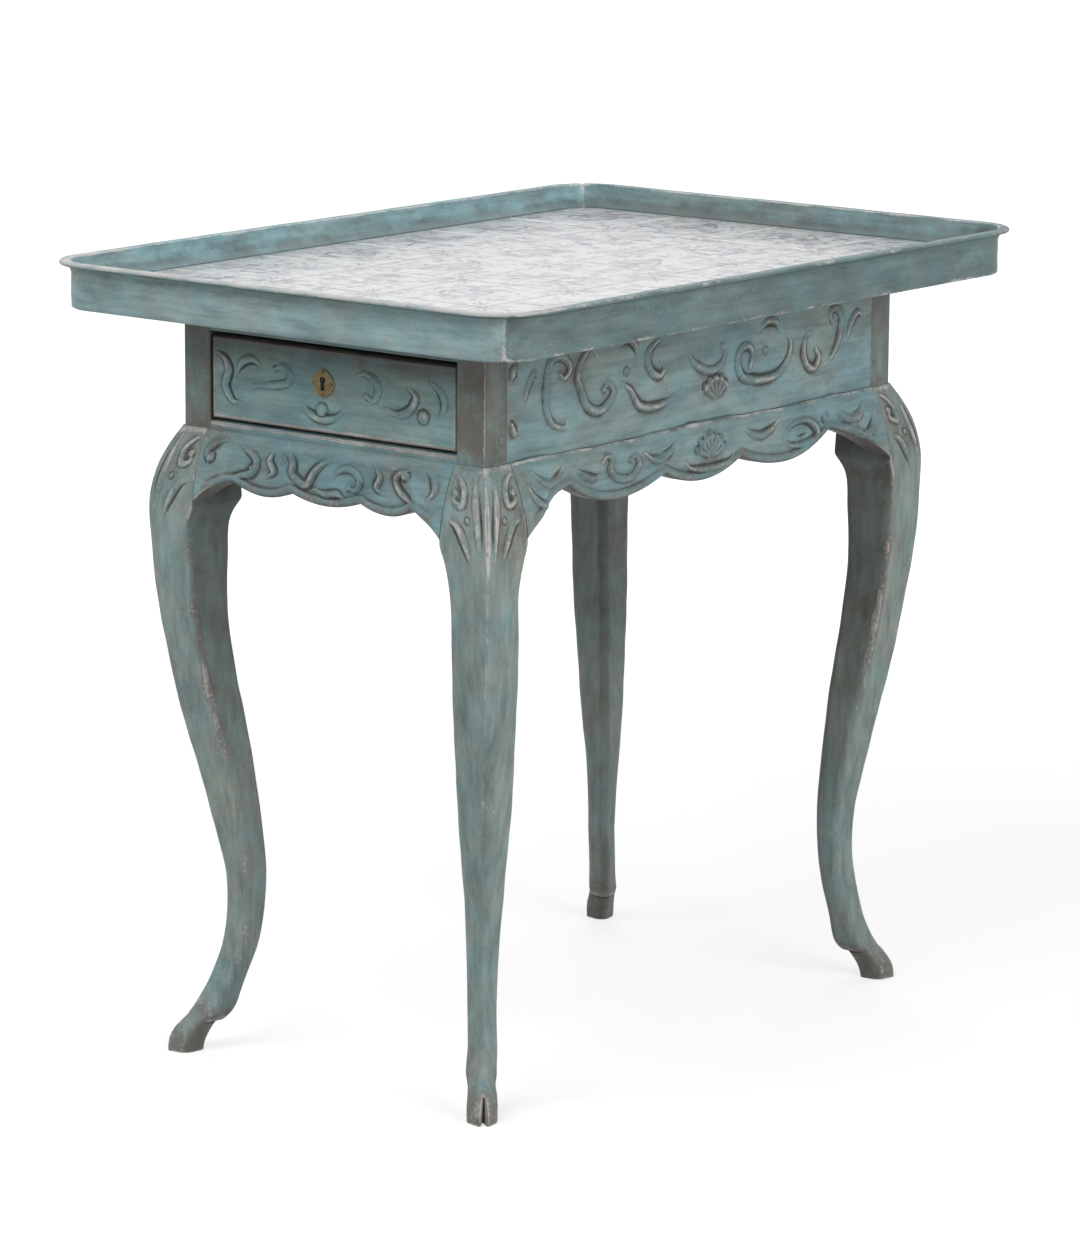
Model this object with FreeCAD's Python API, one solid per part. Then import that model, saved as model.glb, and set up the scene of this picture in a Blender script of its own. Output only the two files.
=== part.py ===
import FreeCAD, Part
import math
import os

# Rococo table: a tray top laid with glazed tiles, a frame on four cabriole legs with cloven
# hooves, scalloped aprons all round and one locking drawer in the narrow end.
# Millimetres, +Z up. The origin lies on the floor under the middle of the top. The table is
# longest along Y and its drawer opens towards -Y.

V = FreeCAD.Vector
UP = V(0, 0, 1)
ROOT2 = math.sqrt(2.0)

# Overall sizes
TABLE_HEIGHT = 770.0
FRAME_LENGTH = 638.0
FRAME_WIDTH = 364.0

# Tiles and the bed they lie in
TILE_SIZE = 126.0
TILE_THICKNESS = 8.0
TILE_ARRIS = 0.8
TILE_ROWS = 6
TILE_COLUMNS = 4
GROUT_WIDTH = 2.0
GROUT_RECESS = 0.8
BED_THICKNESS = 3.0
BOARD_THICKNESS = 12.0
BOARD_COUNT = 3

# Rim of the tray
RIM_HEIGHT = 45.0
RIM_WIDTH = 28.0
RIM_REBATE = 8.0
RIM_WALL = 9.0
RIM_FOOT_ROUND = 1.5
RIM_CORNER_RADIUS = 55.0
CORNER_EASE = 1.2
LIP_WIDTH = 10.5
LIP_EDGE = 4.0
LIP_CAVETTO = 8.0
LIP_NOSE = 2.0
COVE_DEPTH = 4.2
COVE_RISE = 0.6

# Frame
POST = 32.0
FRIEZE_HEIGHT = 112.0
RAIL_THICKNESS = 22.0
TENON_THICKNESS = 9.0
TENON_WALL = 2.5
TENON_END_GAP = 1.0
SIDE_TENON_SHOULDER = 13.0
APRON_TENON_SHOULDER = 2.0
APRON_TENON_HEIGHT = 32.0
PEG_RADIUS = 4.0
PEG_CLEARANCE = 0.05
PEG_PROUD = 0.4
PEG_END_WALL = 3.0
SIDE_PEG_INSET = 22.0
BACK_PEG_INSET = 36.0
TRAY_PEG_RADIUS = 4.5
TRAY_PEG_DEPTH = 35.0
TRAY_PEG_SPACING = 200.0

# Knees and aprons
LEDGE_STEP = 3.5
KNEE_PROJECTION = 26.5
KNEE_DROP = 83.0
KNEE_ROUND = 8.0
KNEE_SIDE_ROUND = 3.0
KNEE_OVERLAP = 2.0
KNEE_WAIST = 4.0
KNEE_STATIONS = (48.0, 30.0, 15.0, 6.0, 0.0)
EAR_DROP = 67.0
EAR_THICKNESS = 25.0
APRON_PROJECTION = 9.0
SWELL_LENGTH = 74.0
SIDE_EAR_LENGTH = 81.0
SIDE_EAR_BELLY = 5.0
SIDE_CUSP_DROP = 31.0
SIDE_NOTCH_DROP = 39.5
SIDE_NOTCH_PLACE = 60.0
SIDE_LOBE_DROP = 53.5
END_EAR_LENGTH = 42.0
END_EAR_BELLY = 4.0
END_CUSP_DROP = 45.0
END_NOTCH_DROP = 48.5
END_NOTCH_PLACE = 42.0
END_LOBE_DROP = 56.0

# Cabriole shank from the heel spur to the knee: share of its height, then how far its front
# and its back stand out from the post's corner along the diagonal, and its width across
SHANK_STATIONS = (
    (0.000, 10.0, -41.5, 22.5),
    (0.018, 2.5, -48.5, 25.5),
    (0.060, -11.0, -52.5, 26.5),
    (0.105, -19.5, -58.5, 26.5),
    (0.165, -27.5, -66.0, 27.0),
    (0.235, -31.0, -69.5, 29.5),
    (0.305, -29.0, -70.0, 34.0),
    (0.395, -19.5, -67.0, 41.0),
    (0.500, -7.0, -61.5, 47.5),
    (0.630, 8.5, -52.0, 54.5),
    (0.760, 21.5, -42.0, 58.5),
    (0.870, 30.5, -37.5, 60.5),
    (0.940, 33.8, -37.0, 62.5),
)
SHANK_BOTTOM = 30.0
SHANK_FRONT_ROUND = 7.0
SHANK_SIDE_ROUND = 10.0

# Cloven hoof: height, then front, back and width as for the shank
HOOF_STATIONS = (
    (0.0, 22.5, -16.5, 26.5),
    (8.0, 22.0, -18.0, 27.5),
    (20.0, 17.5, -24.5, 26.5),
    (29.0, 10.5, -32.0, 24.5),
    (36.0, 4.0, -38.0, 23.0),
)
HOOF_FRONT_ROUND = 8.0
HOOF_SIDE_ROUND = 9.0
CLEFT_DEPTH = 15.0
CLEFT_WIDTH = 4.4
CLEFT_TIP = 0.6
CLEFT_HEIGHT = 25.0

# Drawer
DRAWER_DEPTH = 440.0
DRAWER_FRONT_THICKNESS = 20.0
DRAWER_SIDE_THICKNESS = 10.0
DRAWER_BOTTOM_THICKNESS = 6.0
DRAWER_BOTTOM_RAISE = 9.5
DRAWER_BACK_DROP = 8.0
DRAWER_SIDE_DROP = 1.5
DRAWER_SET_BACK = 1.0
DRAWER_SIDE_GAP = 2.0
DRAWER_LOW_GAP = 3.0
DRAWER_HIGH_GAP = 4.5
DRAWER_GROOVE = 4.0
GROOVE_CLEARANCE = 0.1
TAIL_COUNT = 3
TAIL_LAP = 12.0
TAIL_ROOT = 14.0
TAIL_END = 19.0

# What the drawer runs in
SILL_STRIP = 7.5
SILL_DEPTH = 36.0
TOP_RAIL_HEIGHT = 19.0
TOP_RAIL_DEPTH = 40.0
TOP_TENON_HEIGHT = 9.0
TOP_TENON_INSET = 8.0
RUNNER_WIDTH = 26.0
RUNNER_HEIGHT = 20.0
RUNNER_CLEARANCE = 0.2
GUIDE_HEIGHT = 16.0
GUIDE_CLEARANCE = 0.8
KICKER_WIDTH = 24.0
KICKER_CLEARANCE = 1.2
STOP_WIDTH = 30.0
STOP_DEPTH = 12.0
STOP_HEIGHT = 7.0
STOP_PLACE = 90.0
STOP_CLEARANCE = 0.3

# Drawer lock and its escutcheon
LOCK_PLACE = -10.0
LOCK_WIDTH = 52.0
LOCK_HEIGHT = 41.0
LOCK_DEPTH = 10.0
LOCK_WALL = 1.5
LOCK_PLATE_WIDTH = 68.0
LOCK_PLATE_HEIGHT = 43.0
SELVEDGE_WIDTH = 62.0
SELVEDGE_THICKNESS = 2.5
BOLT_HEAD_WIDTH = 18.0
BOLT_BODY_WIDTH = 36.0
BOLT_BODY_HEIGHT = 11.0
BOLT_THICKNESS = 6.4
BOLT_TRAVEL = 10.0
BOLT_CLEARANCE = 0.3
BOLT_TALON_RADIUS = 3.5
STRIKE_CLEARANCE = 0.8
STRIKE_SPARE_DEPTH = 2.6
KEYHOLE_DROP = 28.5
KEYHOLE_RADIUS = 3.5
KEYHOLE_SLOT_WIDTH = 5.0
KEYHOLE_HEIGHT = 13.5
NAIL_RADIUS = 1.2
NAIL_LENGTH = 8.0
NAIL_HEAD_RADIUS = 2.3
NAIL_HEAD_HEIGHT = 0.8
NAIL_EDGE = 4.0
ESCUTCHEON_SIZE = 28.0
ESCUTCHEON_SWELL = 2.4
ESCUTCHEON_THICKNESS = 1.5
PIN_RADIUS = 0.9
PIN_LENGTH = 9.0
PIN_HEAD_RADIUS = 1.5
PIN_HEAD_HEIGHT = 0.9
PIN_EDGE = 3.2

# Heights and places that follow from the sizes above
FIELD_LENGTH = TILE_ROWS * (TILE_SIZE + GROUT_WIDTH) + GROUT_WIDTH
FIELD_WIDTH = TILE_COLUMNS * (TILE_SIZE + GROUT_WIDTH) + GROUT_WIDTH
FIELD_RADIUS = RIM_CORNER_RADIUS - RIM_WIDTH
TRAY_BOTTOM = TABLE_HEIGHT - RIM_HEIGHT
BED_BOTTOM = TRAY_BOTTOM + BOARD_THICKNESS
TILE_BOTTOM = BED_BOTTOM + BED_THICKNESS
TILE_TOP = TILE_BOTTOM + TILE_THICKNESS
LEDGE = TRAY_BOTTOM - FRIEZE_HEIGHT
HALF_LENGTH = FRAME_LENGTH / 2
HALF_WIDTH = FRAME_WIDTH / 2
SIDE_SPAN = HALF_LENGTH - POST
END_SPAN = HALF_WIDTH - POST
TENON_CENTRE = RAIL_THICKNESS / 2
TENON_LENGTH = POST - TENON_CENTRE - TENON_THICKNESS / 2 - TENON_WALL
OPENING_LOW = LEDGE + SILL_STRIP
OPENING_HIGH = TRAY_BOTTOM - TOP_RAIL_HEIGHT
DRAWER_LOW = OPENING_LOW + DRAWER_LOW_GAP
DRAWER_HIGH = OPENING_HIGH - DRAWER_HIGH_GAP
DRAWER_HALF = END_SPAN - DRAWER_SIDE_GAP
DRAWER_FACE = -HALF_LENGTH + DRAWER_SET_BACK
DRAWER_FRONT_BACK = DRAWER_FACE + DRAWER_FRONT_THICKNESS
DRAWER_END = DRAWER_FACE + DRAWER_DEPTH
DRAWER_SIDE_HIGH = DRAWER_HIGH - DRAWER_SIDE_DROP
PANEL_LOW = DRAWER_LOW + DRAWER_BOTTOM_RAISE
PANEL_HIGH = PANEL_LOW + DRAWER_BOTTOM_THICKNESS
SIDE_INNER = DRAWER_HALF - DRAWER_SIDE_THICKNESS
KEYHOLE_CENTRE = DRAWER_HIGH - KEYHOLE_DROP
ESCUTCHEON_CENTRE = KEYHOLE_CENTRE + KEYHOLE_RADIUS - KEYHOLE_HEIGHT / 2
LOCK_FRONT = DRAWER_FRONT_BACK - LOCK_DEPTH
BOLT_MIDDLE = DRAWER_FRONT_BACK - LOCK_DEPTH / 2
BOLT_LOW = DRAWER_HIGH - SELVEDGE_THICKNESS - BOLT_TRAVEL - BOLT_CLEARANCE - BOLT_BODY_HEIGHT


def box(x0, x1, y0, y1, z0, z1):
    """Box between two corners, given axis by axis."""
    return Part.makeBox(x1 - x0, y1 - y0, z1 - z0, V(x0, y0, z0))


def cylinder(radius, start, end):
    """Round bar between two points."""
    return Part.makeCylinder(radius, (end - start).Length, start, end - start)


def line(a, b):
    """Straight edge."""
    return Part.LineSegment(a, b).toShape()


def arc(a, middle, b):
    """Edge on the circle through three points."""
    return Part.Arc(a, middle, b).toShape()


def level_arc(level_end, far_end, level, rise):
    """Arc that leaves level_end along the direction level and turns towards rise to reach far_end."""
    chord = far_end - level_end
    along = chord.dot(level)
    up = chord.dot(rise)
    radius = (along * along + up * up) / (2 * up)
    half_turn = math.atan2(up, abs(along))
    run = radius * math.sin(half_turn) * math.copysign(1, along)
    climb = radius * (1 - math.cos(half_turn))
    middle = level_end + level * run + rise * climb
    return arc(level_end, middle, far_end)


def prism(edges, direction):
    """Solid swept straight from a closed outline."""
    return Part.Face(Part.Wire(Part.__sortEdges__(edges))).extrude(direction)


def rounded_outline(points, radii):
    """Closed wire through flat points, each corner rounded by its own radius."""
    edges = []
    count = len(points)
    starts = []
    ends = []
    middles = []
    for i, corner in enumerate(points):
        back = (points[i - 1] - corner).normalize()
        ahead = (points[(i + 1) % count] - corner).normalize()
        half = math.acos(max(-1.0, min(1.0, back.dot(ahead)))) / 2
        reach = radii[i] / math.tan(half)
        inward = (back + ahead).normalize()
        starts.append(corner + back * reach)
        ends.append(corner + ahead * reach)
        middles.append(corner + inward * (radii[i] / math.sin(half) - radii[i]))
    for i in range(count):
        edges.append(arc(starts[i], middles[i], ends[i]))
        edges.append(line(ends[i], starts[(i + 1) % count]))
    return Part.Wire(edges)


def rounded_plate(length, width, radius, low, high):
    """Level plate with rounded corners, centred on the origin, length along Y."""
    x = width / 2
    y = length / 2
    corners = [V(x, -y, low), V(x, y, low), V(-x, y, low), V(-x, -y, low)]
    return Part.Face(rounded_outline(corners, [radius] * 4)).extrude(UP * (high - low))


def fuse(shapes):
    """One solid from pieces that touch or overlap."""
    return shapes[0].multiFuse(shapes[1:]).removeSplitter()


def group(shapes):
    """Several solids kept apart in one node."""
    return Part.makeCompound(shapes)


def as_solid(shape):
    """The one solid of a shape that boolean work has wrapped in a compound."""
    return shape.Solids[0] if len(shape.Solids) == 1 else shape


def turned(shape, quarter_turns, shift):
    """Shape turned about +Z and then moved."""
    copy = shape.copy()
    copy.rotate(V(0, 0, 0), UP, 90 * quarter_turns)
    copy.translate(shift)
    return copy


# Tray top


def rim_section(x, y):
    """Moulded section of the rim, standing on the tile field's edge at (x, y), outwards to -Y."""
    tile_level = TILE_TOP - TRAY_BOTTOM
    wall = RIM_REBATE + RIM_WALL
    lip_inner = RIM_WIDTH - LIP_WIDTH
    nose = RIM_WIDTH - LIP_NOSE
    lip_low = RIM_HEIGHT - LIP_EDGE

    def at(out, height):
        return V(x, y - out, TRAY_BOTTOM + height)

    cove_low = at(0, tile_level + COVE_RISE)
    cove_high = at(lip_inner, RIM_HEIGHT)
    chord = cove_high - cove_low
    across = V(0, -chord.z, chord.y).normalize()
    hollow = (cove_low + cove_high) * 0.5 + across * COVE_DEPTH
    cavetto = 1 - 1 / ROOT2
    cavetto_low = lip_low - LIP_CAVETTO
    cavetto_middle = at(wall + (nose - wall) * cavetto, lip_low - LIP_CAVETTO * cavetto)
    edges = [
        line(at(RIM_REBATE, 0), at(wall - RIM_FOOT_ROUND, 0)),
        line(at(wall - RIM_FOOT_ROUND, 0), at(wall, RIM_FOOT_ROUND)),
        line(at(wall, RIM_FOOT_ROUND), at(wall, cavetto_low)),
        arc(at(wall, cavetto_low), cavetto_middle, at(nose, lip_low)),
        arc(at(nose, lip_low), at(RIM_WIDTH, lip_low + LIP_EDGE / 2), at(nose, RIM_HEIGHT)),
        line(at(nose, RIM_HEIGHT), cove_high),
        arc(cove_high, hollow, cove_low),
        line(cove_low, at(0, BOARD_THICKNESS)),
        line(at(0, BOARD_THICKNESS), at(RIM_REBATE, BOARD_THICKNESS)),
        line(at(RIM_REBATE, BOARD_THICKNESS), at(RIM_REBATE, 0)),
    ]
    return Part.Face(Part.Wire(edges))


def rim_piece(field_run, field_across):
    """Rim along the -Y side, mitred in the middle of its two rounded corners."""
    straight = field_run / 2 - FIELD_RADIUS
    edge = -field_across / 2
    section = rim_section(-straight, edge)
    pieces = [section.extrude(V(2 * straight, 0, 0))]
    pieces.append(section.revolve(V(-straight, edge + FIELD_RADIUS, 0), UP, -45))
    far_section = rim_section(straight, edge)
    pieces.append(far_section.revolve(V(straight, edge + FIELD_RADIUS, 0), UP, 45))
    return fuse(pieces)


def build_rims():
    """The four mitred rim pieces."""
    end = rim_piece(FIELD_WIDTH, FIELD_LENGTH)
    side = rim_piece(FIELD_LENGTH, FIELD_WIDTH)
    here = V(0, 0, 0)
    return {
        "rim_front": end,
        "rim_right": turned(side, 1, here),
        "rim_back": turned(end, 2, here),
        "rim_left": turned(side, 3, here),
    }


def tray_peg_places():
    """Level places of the pegs that hold the tray down on the frame."""
    side = HALF_WIDTH - RAIL_THICKNESS / 2
    end = HALF_LENGTH - RAIL_THICKNESS / 2
    places = [(sign * side, step * TRAY_PEG_SPACING) for sign in (-1, 1) for step in (-1, 0, 1)]
    places += [(sign * TRAY_PEG_SPACING / 2, place) for sign in (-1, 1) for place in (-end, end)]
    return places


def tray_peg(place, radius):
    """Peg, or its hole, down through the boards into the frame."""
    x, y = place
    low = TRAY_BOTTOM - (TRAY_PEG_DEPTH if abs(x) > END_SPAN or y > 0 else TOP_RAIL_HEIGHT)
    return cylinder(radius, V(x, y, low), V(x, y, BED_BOTTOM))


def tray_peg_holes():
    """All tray peg holes."""
    return [tray_peg(place, TRAY_PEG_RADIUS + PEG_CLEARANCE) for place in tray_peg_places()]


def build_boards():
    """Boards of the tray's bottom, side by side, let into the rim's rebate."""
    length = FIELD_LENGTH + 2 * RIM_REBATE
    width = FIELD_WIDTH + 2 * RIM_REBATE
    radius = FIELD_RADIUS + RIM_REBATE + CORNER_EASE
    plate = rounded_plate(length, width, radius, TRAY_BOTTOM, BED_BOTTOM)
    plate = plate.cut(tray_peg_holes())
    board_width = width / BOARD_COUNT
    names = ("left", "middle", "right")
    boards = {}
    for i in range(BOARD_COUNT):
        low = -width / 2 + i * board_width
        strip = box(low, low + board_width, -length, length, TRAY_BOTTOM, BED_BOTTOM)
        boards["tray_board_" + names[i]] = as_solid(plate.common(strip))
    return boards


def tile_blank(row, column, high):
    """Plain tile, with the field's rounded corner where it lies in one."""
    pitch = TILE_SIZE + GROUT_WIDTH
    x = (column - (TILE_COLUMNS - 1) / 2) * pitch
    y = (row - (TILE_ROWS - 1) / 2) * pitch
    half = TILE_SIZE / 2
    blank = box(x - half, x + half, y - half, y + half, TILE_BOTTOM, high)
    at_corner = row in (0, TILE_ROWS - 1) and column in (0, TILE_COLUMNS - 1)
    if not at_corner:
        return blank
    length = FIELD_LENGTH - 2 * GROUT_WIDTH
    width = FIELD_WIDTH - 2 * GROUT_WIDTH
    field = rounded_plate(length, width, FIELD_RADIUS - GROUT_WIDTH, TILE_BOTTOM, high)
    return as_solid(blank.common(field))


def build_tiles():
    """Glazed tiles with eased upper edges, and the mortar bed with its grout lines."""
    nodes = {}
    pockets = []
    for row in range(TILE_ROWS):
        for column in range(TILE_COLUMNS):
            tile = tile_blank(row, column, TILE_TOP)
            upper = [e for e in tile.Edges if e.BoundBox.ZMin > TILE_TOP - TILE_ARRIS / 2]
            nodes["tile_r%d_c%d" % (row + 1, column + 1)] = tile.makeChamfer(TILE_ARRIS, upper)
            pockets.append(tile_blank(row, column, TILE_TOP))
    grout_top = TILE_TOP - GROUT_RECESS
    radius = FIELD_RADIUS + CORNER_EASE
    bed = rounded_plate(FIELD_LENGTH, FIELD_WIDTH, radius, BED_BOTTOM, grout_top)
    nodes["mortar_bed"] = as_solid(bed.cut(pockets))
    return nodes


# Legs


def knee_projection(drop):
    """How far the knee stands out from the post's face at a depth below the ledge."""
    swell = KNEE_PROJECTION - LEDGE_STEP
    radius = (swell * swell + KNEE_DROP * KNEE_DROP) / (2 * swell)
    below = KNEE_DROP - min(drop, KNEE_DROP)
    return KNEE_PROJECTION - radius + math.sqrt(radius * radius - below * below)


def leg_section(height, front, back, width, front_round, side_round):
    """Section of the leg on the +X +Y corner: a square set on the diagonal, corners rounded."""
    corner = V(HALF_WIDTH, HALF_LENGTH, height)
    out = V(1 / ROOT2, 1 / ROOT2, 0)
    across = V(-1 / ROOT2, 1 / ROOT2, 0)
    spare = ROOT2 - 1
    tip = front + spare * front_round
    heel = back - spare * side_round
    half = width / 2 + spare * side_round
    middle = (tip + heel) / 2
    points = [
        corner + out * tip,
        corner + out * middle + across * half,
        corner + out * heel,
        corner + out * middle - across * half,
    ]
    return rounded_outline(points, [front_round, side_round, side_round, side_round])


def knee_section(drop, inner):
    """Section of the knee, its sides parallel to the rails, reaching inner behind the post's face."""
    projection = knee_projection(drop)
    spare = ROOT2 - 1
    tip = projection * ROOT2 - spare * KNEE_ROUND
    heel = -inner * ROOT2 + spare * KNEE_SIDE_ROUND
    width = (projection + inner) * ROOT2 - 2 * spare * KNEE_SIDE_ROUND
    return leg_section(LEDGE - drop, tip, heel, width, KNEE_ROUND, KNEE_SIDE_ROUND)


def build_shank():
    """Cabriole shank with its knee, from the heel spur to the ledge."""
    knee_bottom = LEDGE - KNEE_DROP
    sections = []
    for share, front, back, width in SHANK_STATIONS:
        height = SHANK_BOTTOM + share * (knee_bottom - SHANK_BOTTOM)
        section = leg_section(height, front, back, width, SHANK_FRONT_ROUND, SHANK_SIDE_ROUND)
        sections.append(section)
    sections.append(knee_section(KNEE_DROP, POST - KNEE_WAIST))
    for drop in (EAR_DROP,) + KNEE_STATIONS:
        sections.append(knee_section(drop, POST + KNEE_OVERLAP))
    return Part.makeLoft(sections, True, False)


def build_hoof():
    """Cloven hoof under the spur, with the cleft in front."""
    sections = [leg_section(*station, HOOF_FRONT_ROUND, HOOF_SIDE_ROUND) for station in HOOF_STATIONS]
    hoof = Part.makeLoft(sections, True, False)
    toe = HOOF_STATIONS[0][1]
    corner = V(HALF_WIDTH, HALF_LENGTH, -1)
    out = V(1 / ROOT2, 1 / ROOT2, 0)
    across = V(-1 / ROOT2, 1 / ROOT2, 0)
    mouth = toe + CLEFT_WIDTH
    points = [
        corner + out * mouth + across * CLEFT_WIDTH,
        corner + out * (toe - CLEFT_DEPTH) + across * CLEFT_TIP,
        corner + out * (toe - CLEFT_DEPTH) - across * CLEFT_TIP,
        corner + out * mouth - across * CLEFT_WIDTH,
    ]
    edges = [line(points[i - 1], points[i]) for i in range(len(points))]
    return hoof.cut(prism(edges, UP * (CLEFT_HEIGHT + 1)))


def build_leg_blank():
    """Leg on the +X +Y corner with its post, before any mortise is cut."""
    post_bottom = LEDGE - KNEE_DROP / 2
    x0 = HALF_WIDTH - POST
    y0 = HALF_LENGTH - POST
    post = box(x0, HALF_WIDTH, y0, HALF_LENGTH, post_bottom, TRAY_BOTTOM)
    leg = fuse([build_shank(), build_hoof(), post])
    knee_bottom = LEDGE - KNEE_DROP
    beside = box(x0 - POST, x0, y0 - POST, HALF_LENGTH + POST, knee_bottom, TRAY_BOTTOM)
    behind = box(x0 - POST, HALF_WIDTH + POST, y0 - POST, y0, knee_bottom, TRAY_BOTTOM)
    return as_solid(leg.cut([beside, behind]))


def build_legs(cutters):
    """The four legs, mirrored from one pattern and cut by the tenons and pegs that enter them."""
    blank = build_leg_blank()
    legs = {}
    for end, y_sign in (("front", -1), ("back", 1)):
        for side, x_sign in (("left", -1), ("right", 1)):
            leg = blank
            if x_sign < 0:
                leg = leg.mirror(V(0, 0, 0), V(1, 0, 0))
            if y_sign < 0:
                leg = leg.mirror(V(0, 0, 0), V(0, 1, 0))
            legs["leg_%s_%s" % (end, side)] = as_solid(leg.cut(cutters))
    return legs


# Rails and aprons


def apron_edge(span, ear_length, ear_belly, cusp_drop, notch_drop, notch_place, lobe_drop):
    """Scalloped lower edge in the XZ plane: an ear at each leg and three lobes between cusps."""
    along = V(1, 0, 0)

    def at(place, drop):
        return V(place, 0, LEDGE - drop)

    edges = []
    cusp = span - ear_length
    lowest = (cusp + notch_place) / 2
    for sign in (-1, 1):
        leg_end = at(sign * span, EAR_DROP)
        ear_end = at(sign * cusp, cusp_drop)
        chord = ear_end - leg_end
        across = V(sign * abs(chord.z), 0, abs(chord.x)).normalize()
        edges.append(arc(leg_end, (leg_end + ear_end) * 0.5 + across * ear_belly, ear_end))
        bottom = at(sign * lowest, lobe_drop)
        edges.append(level_arc(bottom, ear_end, along, UP))
        notch = at(sign * notch_place, notch_drop)
        edges.append(level_arc(bottom, notch, along, UP))
        edges.append(level_arc(at(0, lobe_drop), notch, along, UP))
    return edges


def apron_board(span, thickness, edge):
    """Apron below the ledge, facing +Y from y = 0, swelling out to the knees and thinned behind."""
    deep = KNEE_PROJECTION + 1
    left = V(-span, 0, LEDGE)
    right = V(span, 0, LEDGE)
    drop = UP * -EAR_DROP
    outline = edge + [line(left, right), line(left, left + drop), line(right, right + drop)]
    board = prism(outline, V(0, deep, 0))
    board = fuse([board, prism(outline, V(0, -thickness, 0))])

    base = LEDGE - EAR_DROP - 1
    flat = span - SWELL_LENGTH
    halfway = (KNEE_PROJECTION + APRON_PROJECTION) / 2
    plan = [line(V(-flat, APRON_PROJECTION, base), V(flat, APRON_PROJECTION, base))]
    plan.append(line(V(-span, -thickness, base), V(span, -thickness, base)))
    for sign in (-1, 1):
        middle = V(sign * (flat + SWELL_LENGTH / 2), halfway, base)
        knee = V(sign * span, KNEE_PROJECTION, base)
        plan.append(level_arc(V(sign * flat, APRON_PROJECTION, base), middle, V(1, 0, 0), V(0, 1, 0)))
        plan.append(level_arc(knee, middle, V(1, 0, 0), V(0, -1, 0)))
        plan.append(line(knee, V(sign * span, -thickness, base)))
    board = board.common(prism(plan, UP * (LEDGE - base)))

    knee_bottom = LEDGE - KNEE_DROP
    step = V(-span, LEDGE_STEP, LEDGE)
    bulge = V(-span, KNEE_PROJECTION, knee_bottom)
    foot = V(-span, KNEE_PROJECTION, base)
    back_low = V(-span, KNEE_PROJECTION - EAR_THICKNESS, base)
    back_high = V(-span, -thickness, LEDGE)
    shoulder = [
        level_arc(bulge, step, UP, V(0, -1, 0)),
        line(bulge, foot),
        line(foot, back_low),
        line(back_low, back_high),
        line(back_high, step),
    ]
    return board.common(prism(shoulder, V(2 * span, 0, 0)))


def rail_tenons(span, low, high, spare):
    """Tenons at both ends of a rail that faces +Y, or their mortises with spare length."""
    y0 = -TENON_CENTRE - TENON_THICKNESS / 2
    y1 = y0 + TENON_THICKNESS
    reach = span + TENON_LENGTH + spare
    return [box(-reach, -span, y0, y1, low, high), box(span, reach, y0, y1, low, high)]


def rail(span, thickness, top, edge, tenon_low, tenon_high):
    """Rail with frieze, apron and tenons in one board, facing +Y from the plane y = 0."""
    frieze = box(-span, span, -thickness, 0, LEDGE, top)
    tenons = rail_tenons(span, tenon_low, tenon_high, 0)
    return fuse([frieze, apron_board(span, thickness, edge)] + tenons)


SIDE_EDGE = (SIDE_EAR_LENGTH, SIDE_EAR_BELLY, SIDE_CUSP_DROP, SIDE_NOTCH_DROP, SIDE_NOTCH_PLACE,
             SIDE_LOBE_DROP)
END_EDGE = (END_EAR_LENGTH, END_EAR_BELLY, END_CUSP_DROP, END_NOTCH_DROP, END_NOTCH_PLACE,
            END_LOBE_DROP)
FULL_TENON = (LEDGE + SIDE_TENON_SHOULDER, TRAY_BOTTOM - SIDE_TENON_SHOULDER)
APRON_TENON = (LEDGE - APRON_TENON_SHOULDER - APRON_TENON_HEIGHT, LEDGE - APRON_TENON_SHOULDER)
RAIL_PLACES = {
    "back_rail": (0, V(0, HALF_LENGTH, 0)),
    "front_apron_rail": (2, V(0, -HALF_LENGTH, 0)),
    "side_rail_right": (3, V(HALF_WIDTH, 0, 0)),
    "side_rail_left": (1, V(-HALF_WIDTH, 0, 0)),
}


def rail_mortises():
    """Mortises of the four aproned rails, where they enter the legs."""
    shapes = []
    for name, (quarter_turns, shift) in RAIL_PLACES.items():
        span = SIDE_SPAN if name.startswith("side") else END_SPAN
        low, high = APRON_TENON if name == "front_apron_rail" else FULL_TENON
        for tenon in rail_tenons(span, low, high, TENON_END_GAP):
            shapes.append(turned(tenon, quarter_turns, shift))
    return shapes


def build_rails():
    """The four rails with their scalloped aprons."""
    side = rail(SIDE_SPAN, RAIL_THICKNESS, TRAY_BOTTOM, apron_edge(SIDE_SPAN, *SIDE_EDGE), *FULL_TENON)
    end_edge = apron_edge(END_SPAN, *END_EDGE)
    back = rail(END_SPAN, RAIL_THICKNESS, TRAY_BOTTOM, end_edge, *FULL_TENON)
    front = rail(END_SPAN, SILL_DEPTH, OPENING_LOW, end_edge, *APRON_TENON)
    blanks = {
        "back_rail": back,
        "front_apron_rail": front,
        "side_rail_right": side,
        "side_rail_left": side,
    }
    cutters = tray_peg_holes() + tenon_pegs(PEG_RADIUS + PEG_CLEARANCE, 1.0)
    rails = {}
    for name, blank in blanks.items():
        rails[name] = as_solid(turned(blank, *RAIL_PLACES[name]).cut(cutters))
    return rails


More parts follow.
